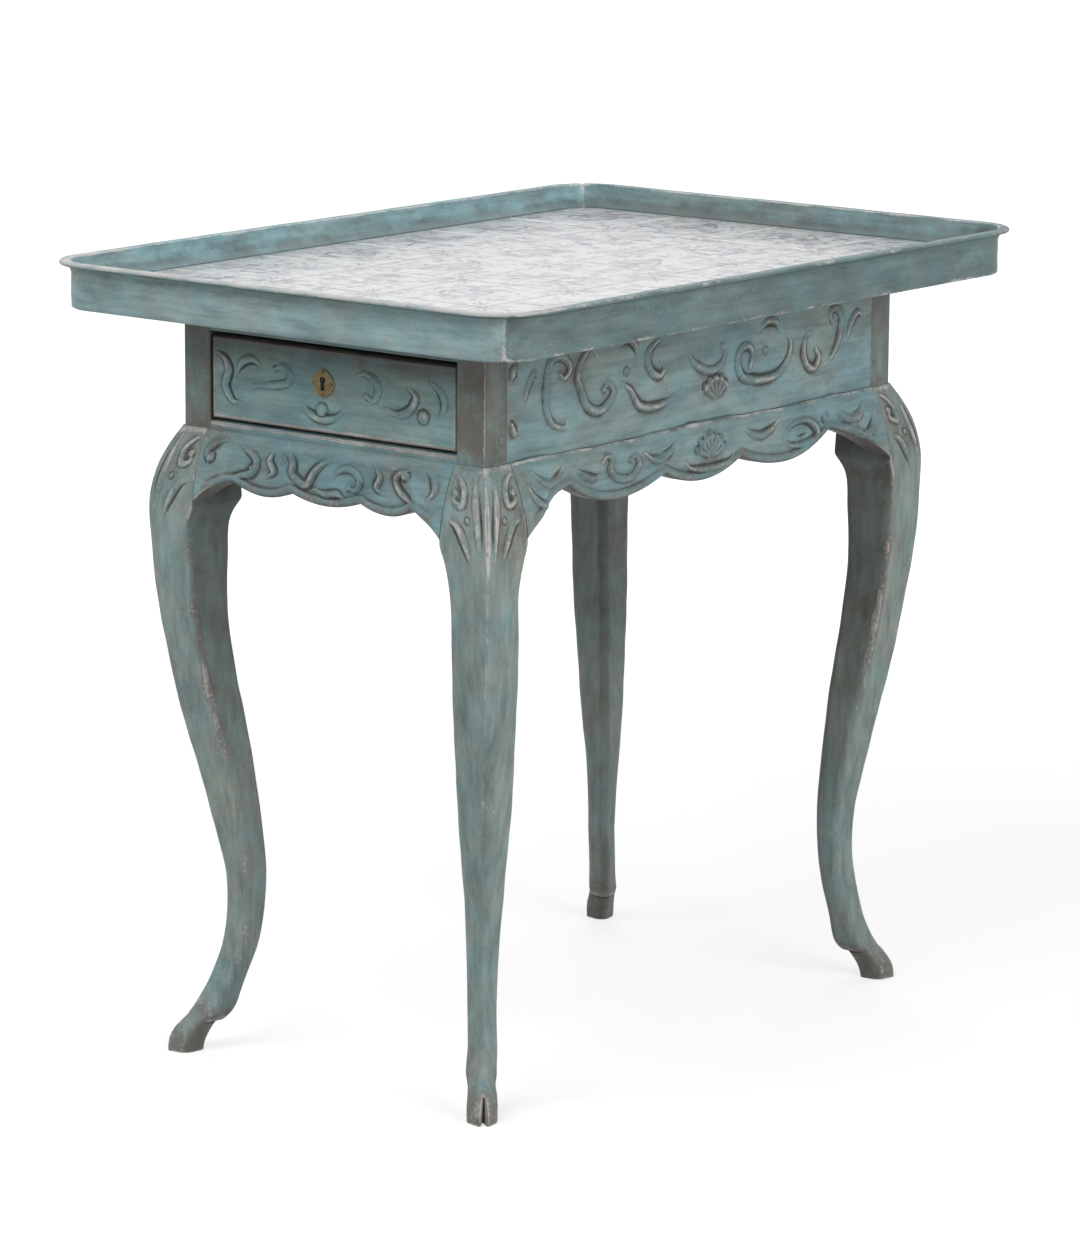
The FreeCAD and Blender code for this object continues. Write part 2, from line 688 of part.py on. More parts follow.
def tenon_pegs(radius, spare):
    """Pegs through the posts and the tall tenons, or their holes with spare length outside."""
    outside = PEG_PROUD + spare
    inside = POST - PEG_END_WALL + spare
    tenon_middle = POST - TENON_LENGTH / 2
    shapes = []
    for x_sign in (-1, 1):
        for y_sign in (-1, 1):
            y = y_sign * (HALF_LENGTH - tenon_middle)
            for z in (LEDGE + SIDE_PEG_INSET, TRAY_BOTTOM - SIDE_PEG_INSET):
                start = V(x_sign * (HALF_WIDTH + outside), y, z)
                shapes.append(cylinder(radius, start, V(x_sign * (HALF_WIDTH - inside), y, z)))
        x = x_sign * (HALF_WIDTH - tenon_middle)
        for z in (LEDGE + BACK_PEG_INSET, TRAY_BOTTOM - BACK_PEG_INSET):
            start = V(x, HALF_LENGTH + outside, z)
            shapes.append(cylinder(radius, start, V(x, HALF_LENGTH - inside, z)))
    return shapes


def top_rail_tenons(spare):
    """Flat tenons of the rail over the drawer, or their mortises with spare length."""
    middle = (OPENING_HIGH + TRAY_BOTTOM) / 2
    low = middle - TOP_TENON_HEIGHT / 2
    high = middle + TOP_TENON_HEIGHT / 2
    y0 = -HALF_LENGTH + TOP_TENON_INSET
    y1 = -HALF_LENGTH + POST - TOP_TENON_INSET
    reach = END_SPAN + TENON_LENGTH + spare
    return [box(-reach, -END_SPAN, y0, y1, low, high), box(END_SPAN, reach, y0, y1, low, high)]


def build_top_rail():
    """Rail laid flat over the drawer, with the pocket that the lock bolt shoots into."""
    y1 = -HALF_LENGTH + TOP_RAIL_DEPTH
    body = box(-END_SPAN, END_SPAN, -HALF_LENGTH, y1, OPENING_HIGH, TRAY_BOTTOM)
    half = BOLT_HEAD_WIDTH / 2 + STRIKE_CLEARANCE
    deep = BOLT_THICKNESS / 2 + STRIKE_CLEARANCE
    pocket_top = DRAWER_HIGH + BOLT_TRAVEL + STRIKE_SPARE_DEPTH
    x0 = LOCK_PLACE - half
    x1 = LOCK_PLACE + half
    pocket = box(x0, x1, BOLT_MIDDLE - deep, BOLT_MIDDLE + deep, OPENING_HIGH, pocket_top)
    return as_solid(fuse([body] + top_rail_tenons(0)).cut([pocket] + tray_peg_holes()))


# Drawer


def tail_places():
    """Heights of the dovetails' middles."""
    step = (DRAWER_SIDE_HIGH - DRAWER_LOW) / TAIL_COUNT
    return [DRAWER_LOW + (i + 0.5) * step for i in range(TAIL_COUNT)]


def dovetails(side, root_y, end_y):
    """Tails on one side board, narrow at root_y and wide at end_y."""
    x0 = min(side * SIDE_INNER, side * DRAWER_HALF)
    tails = []
    for z in tail_places():
        points = [
            V(x0, root_y, z - TAIL_ROOT / 2),
            V(x0, end_y, z - TAIL_END / 2),
            V(x0, end_y, z + TAIL_END / 2),
            V(x0, root_y, z + TAIL_ROOT / 2),
        ]
        edges = [line(points[i - 1], points[i]) for i in range(len(points))]
        tails.append(prism(edges, V(DRAWER_SIDE_THICKNESS, 0, 0)))
    return tails


def front_tails(side):
    """Tails hidden in the drawer front."""
    return dovetails(side, DRAWER_FRONT_BACK, DRAWER_FRONT_BACK - TAIL_LAP)


def back_tails(side):
    """Tails that run through the drawer back."""
    return dovetails(side, DRAWER_END - DRAWER_SIDE_THICKNESS, DRAWER_END)


def panel_box(spare):
    """The drawer's bottom panel, or the groove for it with spare room."""
    half = SIDE_INNER + DRAWER_GROOVE
    y0 = DRAWER_FRONT_BACK - DRAWER_GROOVE
    return box(-half - spare, half + spare, y0 - spare, DRAWER_END, PANEL_LOW - spare, PANEL_HIGH + spare)


def keyhole(y0, y1):
    """Cutter for the keyhole, round above and slotted below."""
    low = KEYHOLE_CENTRE + KEYHOLE_RADIUS - KEYHOLE_HEIGHT
    half = KEYHOLE_SLOT_WIDTH / 2
    x = LOCK_PLACE
    eye = cylinder(KEYHOLE_RADIUS, V(x, y0, KEYHOLE_CENTRE), V(x, y1, KEYHOLE_CENTRE))
    return eye.fuse(box(x - half, x + half, y0, y1, low, KEYHOLE_CENTRE))


def lock_body():
    """Outside of the lock: the case, its back plate and the strip along the drawer's top edge."""
    case_low = DRAWER_HIGH - LOCK_HEIGHT
    x = LOCK_PLACE
    half = LOCK_WIDTH / 2
    case = box(x - half, x + half, LOCK_FRONT, DRAWER_FRONT_BACK, case_low, DRAWER_HIGH)
    plate_half = LOCK_PLATE_WIDTH / 2
    plate_low = DRAWER_HIGH - LOCK_PLATE_HEIGHT
    plate_front = DRAWER_FRONT_BACK - LOCK_WALL
    plate = box(x - plate_half, x + plate_half, plate_front, DRAWER_FRONT_BACK, plate_low, DRAWER_HIGH)
    strip_half = SELVEDGE_WIDTH / 2
    strip_low = DRAWER_HIGH - SELVEDGE_THICKNESS
    strip = box(x - strip_half, x + strip_half, LOCK_FRONT, DRAWER_FRONT_BACK, strip_low, DRAWER_HIGH)
    return fuse([case, plate, strip])


def nail_places():
    """Places of the nails in the lock's back plate."""
    x = LOCK_PLATE_WIDTH / 2 - NAIL_EDGE
    low = DRAWER_HIGH - LOCK_PLATE_HEIGHT + NAIL_EDGE
    high = DRAWER_HIGH - SELVEDGE_THICKNESS - 2 * NAIL_EDGE
    return [(LOCK_PLACE + sign * x, z) for sign in (-1, 1) for z in (low, high)]


def nail_shanks(radius):
    """Shanks of the lock's nails, or their holes."""
    start = DRAWER_FRONT_BACK
    shanks = []
    for x, z in nail_places():
        shanks.append(cylinder(radius, V(x, start, z), V(x, start - NAIL_LENGTH, z)))
    return shanks


def pin_places():
    """Places of the escutcheon's pins, near its four points."""
    reach = ESCUTCHEON_SIZE / 2 - PIN_EDGE
    x = LOCK_PLACE
    z = ESCUTCHEON_CENTRE
    return [(x + reach, z), (x - reach, z), (x, z + reach), (x, z - reach)]


def pin_shanks(radius):
    """Shanks of the escutcheon's pins, or their holes."""
    start = DRAWER_FACE - ESCUTCHEON_THICKNESS
    shanks = []
    for x, z in pin_places():
        shanks.append(cylinder(radius, V(x, start, z), V(x, start + PIN_LENGTH, z)))
    return shanks


def dome_head(radius, height, x, y, z, outward):
    """Low domed head on a nail or pin, rising along Y from its seat."""
    ball = (radius * radius + height * height) / (2 * height)
    centre = V(x, y - outward * (ball - height), z)
    half = box(x - ball, x + ball, min(y, y + outward * ball), max(y, y + outward * ball), z - ball, z + ball)
    return Part.makeSphere(ball, centre).common(half)


def build_drawer():
    """Drawer boards: front, dovetailed sides and back, and the bottom in its grooves."""
    half = DRAWER_HALF
    front = box(-half, half, DRAWER_FACE, DRAWER_FRONT_BACK, DRAWER_LOW, DRAWER_HIGH)
    sockets = front_tails(-1) + front_tails(1)
    holes = [lock_body(), keyhole(DRAWER_FACE, LOCK_FRONT)]
    holes += pin_shanks(PIN_RADIUS + PEG_CLEARANCE) + nail_shanks(NAIL_RADIUS + PEG_CLEARANCE)
    groove = panel_box(GROOVE_CLEARANCE)
    nodes = {"drawer_front": as_solid(front.cut(sockets + holes + [groove]))}
    for name, sign in (("left", -1), ("right", 1)):
        x0 = min(sign * SIDE_INNER, sign * half)
        x1 = max(sign * SIDE_INNER, sign * half)
        end = DRAWER_END - DRAWER_SIDE_THICKNESS
        side = box(x0, x1, DRAWER_FRONT_BACK, end, DRAWER_LOW, DRAWER_SIDE_HIGH)
        side = fuse([side] + front_tails(sign) + back_tails(sign))
        nodes["drawer_side_" + name] = as_solid(side.cut(groove))
    back_low = PANEL_HIGH + GROOVE_CLEARANCE
    back_high = DRAWER_SIDE_HIGH - DRAWER_BACK_DROP
    back = box(-half, half, DRAWER_END - DRAWER_SIDE_THICKNESS, DRAWER_END, back_low, back_high)
    nodes["drawer_back"] = as_solid(back.cut(back_tails(-1) + back_tails(1)))
    nodes["drawer_bottom"] = panel_box(0)
    return nodes


def bolt_shape(spare, rise):
    """The lock's bolt, or the room it needs with spare all round and a rise."""
    deep = BOLT_THICKNESS / 2 + spare
    y0 = BOLT_MIDDLE - deep
    y1 = BOLT_MIDDLE + deep
    body_half = BOLT_BODY_WIDTH / 2 + spare
    head_half = BOLT_HEAD_WIDTH / 2 + spare
    body_high = BOLT_LOW + BOLT_BODY_HEIGHT
    x = LOCK_PLACE
    body = box(x - body_half, x + body_half, y0, y1, BOLT_LOW - spare, body_high + spare + rise)
    head = box(x - head_half, x + head_half, y0, y1, body_high, DRAWER_HIGH)
    return fuse([body, head])


def build_lock():
    """Lock case, bolt, nails, escutcheon and pins."""
    deep = BOLT_THICKNESS / 2 + BOLT_CLEARANCE
    low = DRAWER_HIGH - LOCK_HEIGHT + LOCK_WALL
    key_half = BOLT_BODY_WIDTH / 2
    x = LOCK_PLACE
    key_room = box(x - key_half, x + key_half, BOLT_MIDDLE - deep, BOLT_MIDDLE + deep, low, BOLT_LOW)
    cutters = [bolt_shape(BOLT_CLEARANCE, BOLT_TRAVEL), key_room]
    cutters += [keyhole(LOCK_FRONT, BOLT_MIDDLE)] + nail_shanks(NAIL_RADIUS + PEG_CLEARANCE)
    nodes = {"lock_case": as_solid(lock_body().cut(cutters))}

    talon = cylinder(BOLT_TALON_RADIUS, V(x, LOCK_FRONT, BOLT_LOW), V(x, DRAWER_FRONT_BACK, BOLT_LOW))
    nodes["lock_bolt"] = as_solid(bolt_shape(0, 0).cut(talon))

    nails = []
    for shank, (nail_x, z) in zip(nail_shanks(NAIL_RADIUS), nail_places()):
        head = dome_head(NAIL_HEAD_RADIUS, NAIL_HEAD_HEIGHT, nail_x, DRAWER_FRONT_BACK, z, 1)
        nails.append(as_solid(shank.fuse(head)))
    nodes["lock_nails"] = group(nails)

    reach = ESCUTCHEON_SIZE / 2
    y0 = DRAWER_FACE - ESCUTCHEON_THICKNESS
    points = [V(x + reach, y0, ESCUTCHEON_CENTRE), V(x, y0, ESCUTCHEON_CENTRE + reach)]
    points += [V(x - reach, y0, ESCUTCHEON_CENTRE), V(x, y0, ESCUTCHEON_CENTRE - reach)]
    centre = V(x, y0, ESCUTCHEON_CENTRE)
    edges = []
    for i, start in enumerate(points):
        end = points[(i + 1) % len(points)]
        chord_middle = (start + end) * 0.5
        swell = (chord_middle - centre).normalize() * ESCUTCHEON_SWELL
        edges.append(arc(start, chord_middle + swell, end))
    plate = prism(edges, V(0, ESCUTCHEON_THICKNESS, 0))
    holes = pin_shanks(PIN_RADIUS + PEG_CLEARANCE) + [keyhole(y0, DRAWER_FACE)]
    nodes["escutcheon"] = as_solid(plate.cut(holes))

    pins = []
    for shank, (pin_x, z) in zip(pin_shanks(PIN_RADIUS), pin_places()):
        pins.append(as_solid(shank.fuse(dome_head(PIN_HEAD_RADIUS, PIN_HEAD_HEIGHT, pin_x, y0, z, -1))))
    nodes["escutcheon_pins"] = group(pins)
    return nodes


def build_runners():
    """Rabbeted runners, kickers and stops that carry and guide the drawer."""
    inner = HALF_WIDTH - RAIL_THICKNESS
    front = -HALF_LENGTH + SILL_DEPTH
    kicker_front = -HALF_LENGTH + TOP_RAIL_DEPTH
    top = DRAWER_LOW - RUNNER_CLEARANCE
    guide = DRAWER_HALF + GUIDE_CLEARANCE
    kicker_low = DRAWER_SIDE_HIGH + KICKER_CLEARANCE
    nodes = {}
    for name, quarter_turns in (("right", 0), ("left", 2)):
        runner = box(inner - RUNNER_WIDTH, inner, -SIDE_SPAN, SIDE_SPAN, top - RUNNER_HEIGHT, top)
        runner = runner.fuse(box(guide, inner, -SIDE_SPAN, SIDE_SPAN, top, top + GUIDE_HEIGHT))
        kicker = box(inner - KICKER_WIDTH, inner, -SIDE_SPAN, SIDE_SPAN, kicker_low, TRAY_BOTTOM)
        runner = turned(runner, quarter_turns, V(0, 0, 0))
        kicker = turned(kicker, quarter_turns, V(0, 0, 0))
        wide = HALF_WIDTH
        sill = box(-wide, wide, -HALF_LENGTH, front, LEDGE - EAR_DROP, TRAY_BOTTOM)
        over = box(-wide, wide, -HALF_LENGTH, kicker_front, LEDGE, TRAY_BOTTOM)
        nodes["runner_" + name] = as_solid(runner.cut(sill).removeSplitter())
        nodes["kicker_" + name] = as_solid(kicker.cut(over))
    y0 = DRAWER_FRONT_BACK + STOP_CLEARANCE
    stops = []
    for sign in (-1, 1):
        x = sign * STOP_PLACE
        half = STOP_WIDTH / 2
        stop_top = OPENING_LOW + STOP_HEIGHT
        stops.append(box(x - half, x + half, y0, y0 + STOP_DEPTH, OPENING_LOW, stop_top))
    nodes["drawer_stops"] = group(stops)
    return nodes


def build_table():
    """Every node of the table by name."""
    peg_holes = tenon_pegs(PEG_RADIUS + PEG_CLEARANCE, 1.0)
    cutters = rail_mortises() + top_rail_tenons(TENON_END_GAP) + peg_holes
    nodes = {}
    nodes.update(build_rims())
    nodes.update(build_boards())
    nodes.update(build_tiles())
    nodes.update(build_legs(cutters))
    nodes.update(build_rails())
    nodes["front_top_rail"] = build_top_rail()
    nodes["tenon_pegs"] = group(tenon_pegs(PEG_RADIUS, 0))
    nodes["tray_pegs"] = group([tray_peg(place, TRAY_PEG_RADIUS) for place in tray_peg_places()])
    nodes.update(build_drawer())
    nodes.update(build_lock())
    nodes.update(build_runners())
    return nodes


def main():
    """Build the table and write one file for each node."""
    os.makedirs("parts", exist_ok=True)
    for name, shape in build_table().items():
        shape.exportStep("parts/%s.step" % name)
        print(name, len(shape.Solids), "valid" if shape.isValid() else "INVALID", round(shape.Volume))


main()
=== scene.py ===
"""Looks of a painted rococo table with a tiled tray top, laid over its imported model.

Sizes in the classes are millimetres in the table's own frame; finished meshes are in metres.
"""
import logging
import math
from dataclasses import dataclass, field, replace
from enum import Enum
from typing import Any, ClassVar, Iterable, Sequence

import bmesh
import bpy
import numpy as np
from bpy.types import Material, Mesh, Node, NodeTree, Object
from mathutils import Matrix, Vector
from mathutils.bvhtree import BVHTree


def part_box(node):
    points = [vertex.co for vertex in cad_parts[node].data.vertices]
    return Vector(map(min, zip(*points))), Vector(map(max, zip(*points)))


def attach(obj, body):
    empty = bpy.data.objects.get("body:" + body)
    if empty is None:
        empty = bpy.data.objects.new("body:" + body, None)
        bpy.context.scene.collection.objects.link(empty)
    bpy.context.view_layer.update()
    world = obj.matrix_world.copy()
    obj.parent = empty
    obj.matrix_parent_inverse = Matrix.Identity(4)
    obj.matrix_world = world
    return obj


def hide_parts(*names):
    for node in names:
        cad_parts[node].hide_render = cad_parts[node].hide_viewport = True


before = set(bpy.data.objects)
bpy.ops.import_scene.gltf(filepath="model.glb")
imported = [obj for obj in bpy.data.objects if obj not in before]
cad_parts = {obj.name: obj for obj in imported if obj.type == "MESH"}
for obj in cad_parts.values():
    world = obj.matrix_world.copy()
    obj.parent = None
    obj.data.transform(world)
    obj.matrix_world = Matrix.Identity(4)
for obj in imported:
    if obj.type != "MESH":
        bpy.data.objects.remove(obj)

LOG = logging.getLogger("tile_top_table")
MM = 0.001
ROOT_TWO = math.sqrt(2)
# Lengths and shares below this count as nothing.
TINY = 1e-6
# Corners closer than the first, in metres, are joined; edges shorter than the second are taken out.
WELD = 1e-7
SLIVER = 1e-6
# Edges that bend more than this are shaded as sharp.
SHARP_ANGLE = math.radians(42)
# Height of a carved crest over which no other form's hollow shows.
CREST_CLEAR = 0.8
# Share by which a corner moves to its neighbours in a round of levelling, and the most relief kept.
LEVELLING = 0.6
RELIEF_LIMIT = 1.5
# Many numbers, a point in two measures, a colour, and a zone as low and high or as middle and width.
Array = np.ndarray
Point = tuple[float, float]
Colour = tuple[float, float, float]
Zone = tuple[float, float]
# A node's socket, and the colour, roughness and height that a coat is made of.
Socket = bpy.types.NodeSocket
Coat = tuple[Socket, Socket, Socket]


@dataclass(frozen=True)
class FrameSizes:
    """Main sizes of the table's frame and of the field that the tiles lie in."""

    half_width: float = 182.0
    half_length: float = 319.0
    post: float = 32.0
    ledge: float = 613.0
    tray_bottom: float = 725.0
    ear_drop: float = 67.0
    field_half_width: float = 257.0
    field_half_length: float = 385.0


SIZES = FrameSizes()


class Facing(Enum):
    """Side of the table that a board faces, as its outward level direction."""

    RIGHT = (1, 0)
    BACK = (0, 1)
    LEFT = (-1, 0)
    FRONT = (0, -1)

    @property
    def across(self) -> bool:
        """Whether a board on this side runs across the table."""
        return self in (Facing.FRONT, Facing.BACK)

    def place(self, plane: float, along: Any, out: Any, height: Any) -> Array:
        """Turn a board's own measures into points of the table.

        Args:
            plane: Distance of the board's plane from the table's middle.
            along: Places along the board, rising to the right as seen from outside.
            out: Distances out from the plane.
            height: Heights above the floor.

        Returns:
            Points in metres, with one more axis than the measures.
        """
        along, out, height = np.broadcast_arrays(along, out, height)
        nx, ny = self.value
        reach = plane + out
        return np.stack([nx * reach - ny * along, ny * reach + nx * along, height], -1) * MM


class CadSkin:
    """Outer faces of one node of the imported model, probed with straight rays."""

    def __init__(self, node: str) -> None:
        """Index the faces of a node.

        Args:
            node: Name of the node.
        """
        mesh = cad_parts[node].data
        corners = [v.co.copy() for v in mesh.vertices]
        self.tree = BVHTree.FromPolygons(corners, [list(p.vertices) for p in mesh.polygons])

    def probe(self, starts: Array, ways: Array) -> Array:
        """Measure how far rays run before they meet the node.

        Args:
            starts: Start points in metres, one row each.
            ways: Unit directions, one row each or one for all.

        Returns:
            Distances in metres, nan where a ray meets nothing.
        """
        ways = np.broadcast_to(ways, starts.shape)
        cast = self.tree.ray_cast
        reach = [cast(Vector(a), Vector(b))[3] for a, b in zip(starts.tolist(), ways.tolist())]
        return np.array([np.nan if r is None else r for r in reach])


def smooth_line(points: Sequence[Point], per_span: int = 9) -> Array:
    """Lay a smooth line through points.

    Args:
        points: Points that the line passes, in order.
        per_span: Steps between two of them.

    Returns:
        Points along the line, one row each.
    """
    p = np.asarray(points, float)
    ends = np.vstack([2 * p[0] - p[1], p, 2 * p[-1] - p[-2]])
    t = np.linspace(0, 1, per_span, endpoint=False)[:, None]
    spans = []
    for a, b, c, d in zip(ends[:-3], ends[1:-2], ends[2:-1], ends[3:]):
        bend = (2 * a - 5 * b + 4 * c - d) * t**2 + (3 * b - a - 3 * c + d) * t**3
        spans.append(0.5 * (2 * b + (c - a) * t + bend))
    return np.vstack(spans + [p[-1:]])


def line_distance(points: Array, line: Array) -> tuple[Array, Array, Array]:
    """Measure points against a line of short straight steps.

    Args:
        points: Points, one row each.
        line: Corners of the line.

    Returns:
        Distance of each point to the line, the share of the line where it is nearest, and
        a number that is above zero for points on the line's left.
    """
    best = np.full(len(points), np.inf)
    share = np.zeros(len(points))
    left = np.zeros(len(points))
    steps = len(line) - 1
    for i in range(steps):
        step = line[i + 1] - line[i]
        away = points - line[i]
        t = np.clip(away @ step / max(step @ step, TINY**2), 0, 1)
        gap = np.hypot(*(away - t[:, None] * step).T)
        near = gap < best
        best[near] = gap[near]
        share[near] = (i + t[near]) / steps
        left[near] = (step[0] * away[:, 1] - step[1] * away[:, 0])[near]
    return best, share, left


def ease(value: Any, low: float, high: float) -> Array:
    """Rise smoothly from 0 at low to 1 at high."""
    t = np.clip((np.asarray(value, float) - low) / (high - low), 0, 1)
    return t * t * (3 - 2 * t)


def hump(value: Any, middle: Any, width: Any) -> Array:
    """Smooth hump that is 1 at its middle and dies away over its width."""
    return np.exp(-(((value - middle) / width) ** 2))


def dome(far: Any, roundness: float) -> Array:
    """Rounded section that is 1 in the middle and 0 from a distance of 1 on."""
    return np.clip(1 - far**2, 0, None) ** roundness


def ripple(a: Any, b: Any, seed: float) -> Array:
    """Gentle hand-made unevenness over two measures.

    Args:
        a: First measure in millimetres.
        b: Second measure.
        seed: Number that sets the pattern.

    Returns:
        Unevenness between about -1 and 1.
    """
    a, b = np.asarray(a, float), np.asarray(b, float)
    first = np.sin(a / 23.0 + 1.7 * seed + 0.6 * np.sin(b / 31.0 + seed))
    second = np.sin(b / 17.0 - 2.3 * seed + 0.8 * np.sin(a / 41.0))
    third = np.sin(a / 7.3 + b / 9.1 + 3.1 * seed)
    return 0.45 * first + 0.4 * second + 0.25 * third


class Carving:
    """A carved form that raises or sinks a face round its points, which stand for its place."""

    points: Any
    spare: float

    def reach(self) -> tuple[Array, Array]:
        """Lowest and highest corner of the carved patch."""
        line = np.atleast_2d(self.points)
        return line.min(0) - self.spare, line.max(0) + self.spare

    def height(self, points: Array) -> Array:
        """Height of the form at points of the face."""
        raise NotImplementedError


@dataclass(frozen=True)
class Ridge(Carving):
    """Scroll along a smooth line: a rounded crest, a hollow inside its bend and a boss as its eye."""

    points: tuple[Point, ...]
    width: float = 3.4
    rise: float = 2.6
    hollow: float = 0.9
    start: float = 0.35
    end: float = 0.35
    eye: float = 0.0
    taper: float = 0.4
    crest_share: float = 1.25
    trench_place: float = 1.5
    trench_share: float = 0.62
    inner_cut: float = 1.35
    outer_cut: float = 0.3
    eye_share: float = 1.15

    @property
    def spare(self) -> float:
        """Width of the patch round the line."""
        return 3 * self.width + self.eye

    def height(self, points: Array) -> Array:
        """Height of the crest and its hollow.

        Args:
            points: Points of the face, one row each.

        Returns:
            Height at each point.
        """
        line = smooth_line(self.points)
        gap, share, left = line_distance(points, line)
        step = np.diff(line, axis=0)
        bend = np.sum(step[:-1, 0] * step[1:, 1] - step[:-1, 1] * step[1:, 0])
        swell = np.minimum(ease(share, -0.02, self.taper) * (1 - self.start) + self.start,
                           ease(1 - share, -0.02, self.taper) * (1 - self.end) + self.end)
        wide = self.crest_share * self.width * swell
        trench = hump(gap, self.trench_place * wide, self.trench_share * self.width)
        cut = self.hollow * np.where(left * bend > 0, self.inner_cut, self.outer_cut)
        form = self.rise * swell * dome(gap / wide, 0.8) - cut * trench * swell
        if self.eye:
            far = np.hypot(*(points - self.points[-1]).T) / self.eye
            form = np.maximum(form, self.eye_share * self.rise * dome(far, 0.6))
        return form


@dataclass(frozen=True)
class Shell(Carving):
    """Fan of flutes with a scalloped rim, set round its hinge point."""

    points: Point
    radius: float
    middle: float
    sweep: float
    flutes: int
    rise: float = 3.0
    patch: float = 1.3
    scallop: float = 0.1
    lip_place: float = 0.9
    groove_place: float = 1.1
    lip_width: float = 0.07

    @property
    def spare(self) -> float:
        """Width of the patch round the hinge."""
        return self.patch * self.radius

    def height(self, points: Array) -> Array:
        """Height of the fan.

        Args:
            points: Points of the face, one row each.

        Returns:
            Height at each point.
        """
        dx, dy = (points - self.points).T
        turn = np.degrees(np.arctan2(dy, dx)) - self.middle
        turn = (turn + 180) % 360 - 180
        within = 1 - ease(np.abs(turn), 0.46 * self.sweep, 0.54 * self.sweep)
        wave = np.abs(np.cos(math.pi * self.flutes * turn / self.sweep))
        edge = self.radius * (1 - self.scallop + self.scallop * wave)
        far = np.hypot(dx, dy) / edge
        crown = ease(far, 0.0, 0.35) * (1 - ease(far, self.lip_place, 1.02))
        lip = hump(far, self.lip_place, self.lip_width)
        groove = hump(far, self.groove_place, self.lip_width)
        return within * self.rise * (crown * (0.35 + 0.5 * wave) + 0.35 * lip - 0.3 * groove)


@dataclass(frozen=True)
class Boss(Carving):
    """Round knob in a shallow sunk ring, set round its middle."""

    points: Point
    radius: float
    rise: float = 2.4
    patch: float = 2.2
    ring_place: float = 1.35
    ring_width: float = 0.3
    ring_share: float = 0.35

    @property
    def spare(self) -> float:
        """Width of the patch round the middle."""
        return self.patch * self.radius

    def height(self, points: Array) -> Array:
        """Height of the knob and its ring.

        Args:
            points: Points of the face, one row each.

        Returns:
            Height at each point.
        """
        far = np.hypot(*(points - self.points).T) / self.radius
        ring = hump(far, self.ring_place, self.ring_width)
        return self.rise * dome(far, 0.65) - self.ring_share * self.rise * ring


@dataclass(frozen=True)
class EdgeBead(Carving):
    """Bead that runs along a board's scalloped lower edge, with a groove above it."""

    points: tuple[Point, ...]
    inset: float = 4.2
    width: float = 3.2
    rise: float = 1.5
    fade: float = 26.0
    spare: float = 16.0
    groove_depth: float = 0.75
    groove_width: float = 1.5

    def height(self, points: Array) -> Array:
        """Height of the bead and its groove.

        Args:
            points: Points of the face, one row each.

        Returns:
            Height at each point.
        """
        line = np.asarray(self.points)
        gap = line_distance(points, line)[0]
        ends = ease(np.abs(line[:, 0]).max() - np.abs(points[:, 0]), 0, self.fade)
        bead = dome((gap - self.inset) / self.width, 0.8)
        groove = hump(gap, self.inset + 1.5 * self.width, self.groove_width)
        return ends * (self.rise * bead - self.groove_depth * groove)


def carve(points: Array, forms: Iterable[Carving]) -> Array:
    """Lay carved forms over a face, the highest on top.

    Args:
        points: Points of the face in its own two measures, one row each.
        forms: Carved forms.

    Returns:
        Height of the carved face at each point.
    """
    raised = np.zeros(len(points))
    sunk = np.zeros(len(points))
    for form in forms:
        low, high = form.reach()
        near = np.flatnonzero(np.all((points > low) & (points < high), axis=1))
        if len(near) == 0:
            continue
        height = form.height(points[near])
        raised[near] = np.maximum(raised[near], height)
        sunk[near] = np.minimum(sunk[near], height)
    return raised + sunk * (1 - ease(raised, 0.0, CREST_CLEAR))


def mirrored(forms: Iterable[Ridge]) -> list[Ridge]:
    """The same ridges with left and right changed."""
    return [replace(form, points=tuple((-a, b) for a, b in form.points)) for form in forms]


def open_edges(bm: bmesh.types.BMesh) -> list[bmesh.types.BMEdge]:
    """Edges of a bmesh with a face on one side only."""
    return [e for e in bm.edges if e.is_boundary]


def rolled_mesh(name: str, points: Array, grime: Array | None = None) -> Object:
    """Make a closed piece from rings of points.

    A flat grid is shaped to the points, joined along its seam and capped at both ends.

    Args:
        name: Name of the piece.
        points: Points in metres as rings, sides round each ring, and three measures.
        grime: Dirt at each of the points, kept as the attribute grime.

    Returns:
        The new object, linked to the scene.
    """
    rings, sides = points.shape[:2]
    bm = bmesh.new()
    bmesh.ops.create_grid(bm, x_segments=sides, y_segments=rings - 1, size=1.0)
    flat = np.array([v.co[:2] for v in bm.verts])
    column = np.rint((flat[:, 0] + 1) / 2 * sides).astype(int) % sides
    row = np.rint((flat[:, 1] + 1) / 2 * (rings - 1)).astype(int)
    for vert, place in zip(bm.verts, points[row, column].tolist()):
        vert.co = place
    if grime is not None:
        layer = bm.verts.layers.float.new("grime")
        for vert, dirt in zip(bm.verts, grime[row, column].tolist()):
            vert[layer] = dirt
    bmesh.ops.remove_doubles(bm, verts=bm.verts, dist=WELD)
    bmesh.ops.holes_fill(bm, edges=open_edges(bm), sides=0)
    return finished_object(name, bm)


def finished_object(name: str, bm: bmesh.types.BMesh) -> Object:
    """Turn a closed bmesh into a smooth-shaded object with its sharp edges marked.

    Args:
        name: Name of the piece.
        bm: Closed bmesh, which is freed.

    Returns:
        The new object, linked to the scene.
    """
    bmesh.ops.dissolve_degenerate(bm, dist=SLIVER, edges=bm.edges)
    bmesh.ops.recalc_face_normals(bm, faces=bm.faces)
    for face in bm.faces:
        face.smooth = True
    for edge in bm.edges:
        edge.smooth = edge.calc_face_angle(0.0) < SHARP_ANGLE
    mesh = bpy.data.meshes.new(name)
    bm.to_mesh(mesh)
    bm.free()
    obj = bpy.data.objects.new(name, mesh)
    bpy.context.scene.collection.objects.link(obj)
    return obj


